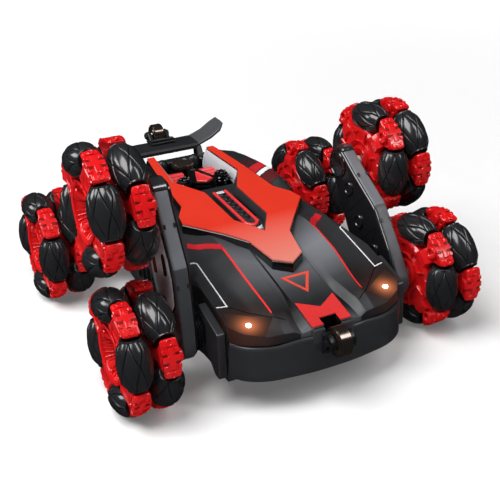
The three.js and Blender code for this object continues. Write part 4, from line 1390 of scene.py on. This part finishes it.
def build_bump_roller(body, radius, width):
    """A small turned roller whose rim has ten soft facets."""
    centre = joint_at[f"{body}_spin"]
    bm = bmesh.new()
    half = width / 2
    profile = [(0, -half - 0.8), (2.6, -half - 0.8), (2.9, -half - 0.1), (radius * 0.72, -half),
               (radius * 0.78, -half + 0.35), (radius - 0.7, -half + 0.2), (radius, -half + 0.9)]
    profile += [(r, -t) for r, t in reversed(profile)]
    add_lathe(bm, profile, 40, "x")
    facet = 2 * math.pi / ROLLER_FACETS
    for vert in bm.verts:
        if math.hypot(vert.co.y, vert.co.z) > radius - 0.3:
            inside = math.atan2(vert.co.z, vert.co.y) % facet - facet / 2
            wave = math.cos(inside * ROLLER_FACETS) * 0.5 + 0.5
            shrink = 1 - 0.45 * (1 - math.cos(facet / 2)) * wave
            vert.co.y *= shrink
            vert.co.z *= shrink
    add_lathe(bm, [(0, -8.3), (1.6, -8.3), (2.0, -7.9), (2.0, 7.9), (1.6, 8.3), (0, 8.3)], 20, "x", mat=1)
    piece(f"{body}_wheel", finish_mesh(bm, body, 32), "roller_brown arm_grey", body,
          Matrix.Translation(centre * MM), [body])


def build_bracket(name, node, body, add_foot, ear):
    """A fork for one bump roller: the foot on the body, then an ear and an axle nut on each side."""
    bm = bmesh.new()
    add_foot(bm)
    axle = joint_at[f"{body}_spin"]
    nut = [(0, 7.6), (2.7, 7.6), (2.7, 8.9), (2.2, 9.4), (0, 9.4)]
    for side in SIDES:
        levels = [(0.4, 5.3), (0, 5.7), (0, 7.5), (0.5, 8.0)]
        add_plate(bm, ear, outward(levels, side), "x")
        add_lathe(bm, outward(nut, side), 6, "x", (0, axle.y - front_axle.y, axle.z))
    body_piece(name, bm, 30, "black", [node])


def add_front_foot(bm):
    """The plate on the bumper."""
    outline = [(-8.6, 34), (8.6, 34), (8.6, 45.6), (7.4, 46.8), (-7.4, 46.8), (-8.6, 45.6)]
    add_plate(bm, outline, [(0.5, -52.2), (0, -51.8), (0, -50.4)], "y")


def add_rear_foot(bm):
    """The plate on the wing, with its raised front edge."""
    add_box(bm, (-9.5, 9.5), (196, 206.6), (76.1, 78.2), 0.5)
    add_box(bm, (-9.0, 9.0), (196.4, 199.2), (77.6, 80.4), 0.5)


FRONT_EAR = [(-52.6, 35.6), (-55.6, 37.2), (-59.3, 39.6), (-59.3, 44.4), (-55.8, 47.0), (-52.6, 46.6)]
REAR_EAR = [(199, 76.8), (206.6, 76.0), (211.6, 76.6), (212.8, 79.8), (210.9, 83.2), (207.2, 83.2),
            (202, 79)]

build_spoiler()
build_bump_roller("front_roller", 9.0, 8.2)
build_bump_roller("rear_roller", 8.0, 8.2)
build_bracket("front_roller_fork", "front_roller_bracket", "front_roller", add_front_foot,
              rounded(FRONT_EAR, 1.4, 3))
build_bracket("rear_roller_fork", "rear_roller_bracket", "rear_roller", add_rear_foot,
              rounded(REAR_EAR, 1.4, 3))

# ---- swing arms ---------------------------------------------------------------------------------

# An arm is drawn in (along, across) from its pivot.
ARM_WIDEST = 41
ARM_HALF = [(-13.5, 6.5), (-8, 13), (14, 17), (ARM_WIDEST, 20.5), (68, 13.5), (86, 10), (92, 6)]
ARM_LENGTH = 81          # from the pivot to the wheel's axle
IDLERS = [(18.32, 1.2), (40.5, -2.21), (62.68, 1.2)]


def arm_outline():
    """Anticlockwise in (along, across), with its kinks slightly rounded."""
    lower = [(u, -v) for u, v in ARM_HALF]
    return rounded(lower + ARM_HALF[::-1], 3.2, 3)


def plate_on(bm, shape, levels, side, mat=0):
    """A plate of an arm; its levels are (inset, distance from the car's middle)."""
    return add_plate(bm, shape, outward(levels, side), "x", mat)


def disc_on(bm, profile, centre, side, mat=0):
    """A turned part of an arm, at (along, across) from its pivot."""
    return add_lathe(bm, outward(profile, side), 40, "x", (0, *centre), mat)


def arm_rim(side):
    """The outer shell: grey rim with painted shade on its lower faces, polished tip and clips along the
    edges.
    """
    bm = bmesh.new()
    plate_on(bm, arm_outline(), [(0.5, 69.0), (0, 69.5), (0, 75.9), (0.35, 76.6), (1.1, 77.0)], side)
    tip = [(84.5, -10.6), (86.6, -10.5), (92.5, -6.3), (92.5, 6.3), (86.6, 10.5), (84.5, 10.6)]
    plate_on(bm, rounded(tip, 2.4, 3), [(0.6, 68.7), (0, 69.2), (0, 76.8), (0.6, 77.3)], side, 1)
    for u, v in ((30.5, 18.6), (64.5, 14.0)):
        for sign in (1, -1):
            clip = rectangle((u, u + 2.4), (v * sign - 0.9, v * sign + 1.1))
            plate_on(bm, clip, [(0, 69.3), (0, 70.6)], side, 1)
            plate_on(bm, clip, [(0, 75.4), (0, 76.6)], side, 1)
    for face in bm.faces:
        if face.material_index == 0:
            if abs(face.normal.x) > 0.3:
                face.material_index = 1
            # faces below the widest point take the darker grey: painted shade
            elif face.calc_center_median().y < ARM_WIDEST:
                face.material_index = 2
    return bm


def arm_cover(side):
    """The smoked inner shell: bearing bosses and the raised lines between them."""
    bm = bmesh.new()
    shell = inset_outline(arm_outline(), 0.9)
    plate_on(bm, shell, [(0.0, 69.4), (0, 68.3), (0.35, 67.75), (1.0, 67.5)], side)
    big = [(0, 66.8), (7.2, 66.8), (7.6, 66.2), (8.5, 66.3), (9.2, 66.9), (9.2, 67.7), (0, 67.7)]
    disc_on(bm, big, (ARM_LENGTH, 0), side)
    small = [(0, 66.9), (3.1, 66.9), (3.5, 66.3), (4.2, 66.3), (4.8, 66.8), (4.8, 67.6), (0, 67.6)]
    for centre in IDLERS:
        disc_on(bm, small, centre, side)
    lines = [((10, -12), (30, 12.5)), ((30, 12.5), (51, -13)), ((51, -13), (70, 10)),
             ((30, -16), (30, 12.5)), ((51, -13), (51, 15))]
    for start, end in lines:
        start, end = Vector(start), Vector(end)
        along = end - start
        half = Vector((-along.y, along.x)).normalized() * 0.3
        bar = [tuple(p) for p in (start - half, end - half, end + half, start + half)]
        plate_on(bm, bar, [(0, 67.7), (0.1, 67.3)], side)
    return bm


def arm_panel(side):
    """The silver panel on the outside, with its dark edge, two slots and two screws."""
    bm = bmesh.new()
    lower = [(14, -6), (20, -13.5), (34, -16), (47, -15.5), (62, -10.5), (70, -4)]
    panel = rounded(lower[1:] + mirrored(lower, 1, -1) + lower[:1], 1.5, 2)
    plate_on(bm, panel, [(0, 76.8), (0, 77.2), (0.3, 77.45)], side, 1)
    plate_on(bm, inset_outline(panel, 1.3), [(0, 77.2), (0, 77.6), (0.3, 77.8)], side)
    for sign in (1, -1):
        slot = rounded(rectangle((37, 50), (sign * 8 - 2.6, sign * 8 + 2.6)), 2.6, 5)
        plate_on(bm, slot, [(0, 77.3), (0, 77.9), (0.3, 78.1), (0.9, 78.1), (1.1, 77.9)], side, 1)
    screw = [(0, 77.3), (2.6, 77.3), (2.6, 78.0), (2.0, 78.5), (1.2, 78.5), (1.0, 78.1), (0, 78.1)]
    for along in (24, 60):
        disc_on(bm, screw, (along, 0), side, 2)
    return bm


def arm_pivot(side):
    """The ribbed sleeve and the shaft that the arm swings on."""
    bm = bmesh.new()
    ribs = [(0, 63.2), (9.6, 63.2)]
    for k in range(3):
        t = 63.4 + 1.5 * k
        ribs += [(11.4, t), (11.4, t + 0.7), (10.2, t + 0.8), (10.2, t + 1.3)]
    ribs += [(11.0, 68.2), (0, 68.2)]
    disc_on(bm, ribs, (0, 0), side)
    disc_on(bm, [(0, 45), (9, 45), (9, 63.3), (0, 63.3)], (0, 0), side)
    return bm


# part of the arm, its shape, sharp angle, materials, slot, and the CAD node that it replaces
ARM_PARTS = [
    ("rim", arm_rim, 26, "arm_grey polished arm_dark", "arm_grey", ["outer_shell"]),
    ("cover", arm_cover, 30, "smoke", "arm_smoke", ["inner_shell"]),
    ("side_panel", arm_panel, 30, "silver gloss_black steel", "arm_grey", []),
    ("pivot", arm_pivot, 30, "black", "arm_smoke", []),
]


def build_arm(side, body, angle):
    """A swing arm at its rest angle, in degrees about the car's X axis."""
    pivot = joint_at[f"{body}_swing"]
    place = Matrix.Translation(pivot * MM) @ Matrix.Rotation(math.radians(angle), 4, "X")
    for part, shape, sharp, mats, slot, shells in ARM_PARTS:
        name = f"{body}_{part}"
        nodes = [f"{body}_{shell}" for shell in shells]
        piece(name, finish_mesh(shape(side), name, sharp), mats, body, place, nodes)


build_arm(1, "left_arm", 45)
build_arm(-1, "right_arm", 73)

# ---- CAD pieces that stay, with their finishes --------------------------------------------------

KEPT = {
    "bumper": ["chassis_tray", "left_rear_gearbox", "right_rear_gearbox"],
    "black": ["battery_door", "power_switch", "left_arm_gearbox", "right_arm_gearbox"],
    "battery": ["battery_pack"],
    "board": ["circuit_board"],
    "steel": ["left_rear_axle", "right_rear_axle"],
    "nylon": [node for node in frame["nodes"] if node.endswith("_gear")],
}
for key, nodes in KEPT.items():
    for node in nodes:
        for material_slot in frame["nodes"][node].material_slots:
            material_slot.material = MAT[key]

# ---- floor, backdrop and light ------------------------------------------------------------------

FLOOR_HALF = 3000
DOME_R = 3900
CAR_MIDDLE = (0, 0, 0.05)


def build_floor():
    """White paper with a painted glow that brightens it away from the car, towards the white of the
    backdrop.
    """
    bm = bmesh.new()
    add_box(bm, (-FLOOR_HALF, FLOOR_HALF), (-FLOOR_HALF, FLOOR_HALF), (-20, 0), 1)
    floor = in_scene("floor", finish_mesh(bm, "floor", 38))
    paper = Surface("floor_paper_painted_glow")
    paper.plain((0.82, 0.82, 0.82), 0.01, 0.9, 0.02)
    # painted glow: emission that rises away from the car
    away = paper.node("VectorMath", {0: paper.coords}, operation="LENGTH").outputs["Value"]
    paper.set(Emission_Strength=paper.map_range(away, 0.25, 1.1, 0.12, 0.75), Emission_Color=(1, 1, 1, 1),
              Specular_IOR_Level=0.1)
    floor.data.materials.append(paper.mat)
    floor.visible_glossy = False


def build_backdrop():
    """A white dome that only the camera sees."""
    bm = bmesh.new()
    bmesh.ops.create_uvsphere(bm, u_segments=48, v_segments=24, radius=DOME_R)
    dome = in_scene("backdrop", finish_mesh(bm, "backdrop", 60))
    white = Surface("backdrop_white")
    white.plain((0.0, 0.0, 0.0), 0.0, 1.0, 0.0)
    white.set(Emission_Color=(1, 1, 1, 1), Emission_Strength=1.0, Specular_IOR_Level=0.0)
    dome.data.materials.append(white.mat)
    for ray in ("diffuse", "glossy", "transmission", "volume_scatter", "shadow"):
        setattr(dome, f"visible_{ray}", False)


def light_world():
    """Soft light from all round, brighter from above."""
    world = bpy.data.worlds.new("studio")
    bpy.context.scene.world = world
    world.use_nodes = True
    tree = world.node_tree
    place = add_node(tree, "TexCoord", {}).outputs["Generated"]
    height = add_node(tree, "SeparateXYZ", {"Vector": place}).outputs["Z"]
    limits = {"From Min": 0.1, "From Max": 0.9, "To Min": 0.12, "To Max": 0.75}
    strength = add_node(tree, "MapRange", {"Value": height, **limits}).outputs["Result"]
    fill_inputs(tree, tree.nodes["Background"], {"Strength": strength})


build_floor()
build_backdrop()
light_world()
area_light("key", (-0.5, -0.15, 1.15), CAR_MIDDLE, (0.8, 0.8), 17)
area_light("left", (-1.1, 0.5, 0.75), CAR_MIDDLE, (0.5, 0.5), 7)
area_light("right", (0.6, -0.7, 1.1), CAR_MIDDLE, (0.25, 0.9), 6.2)
bpy.context.scene.view_settings.view_transform = "Standard"
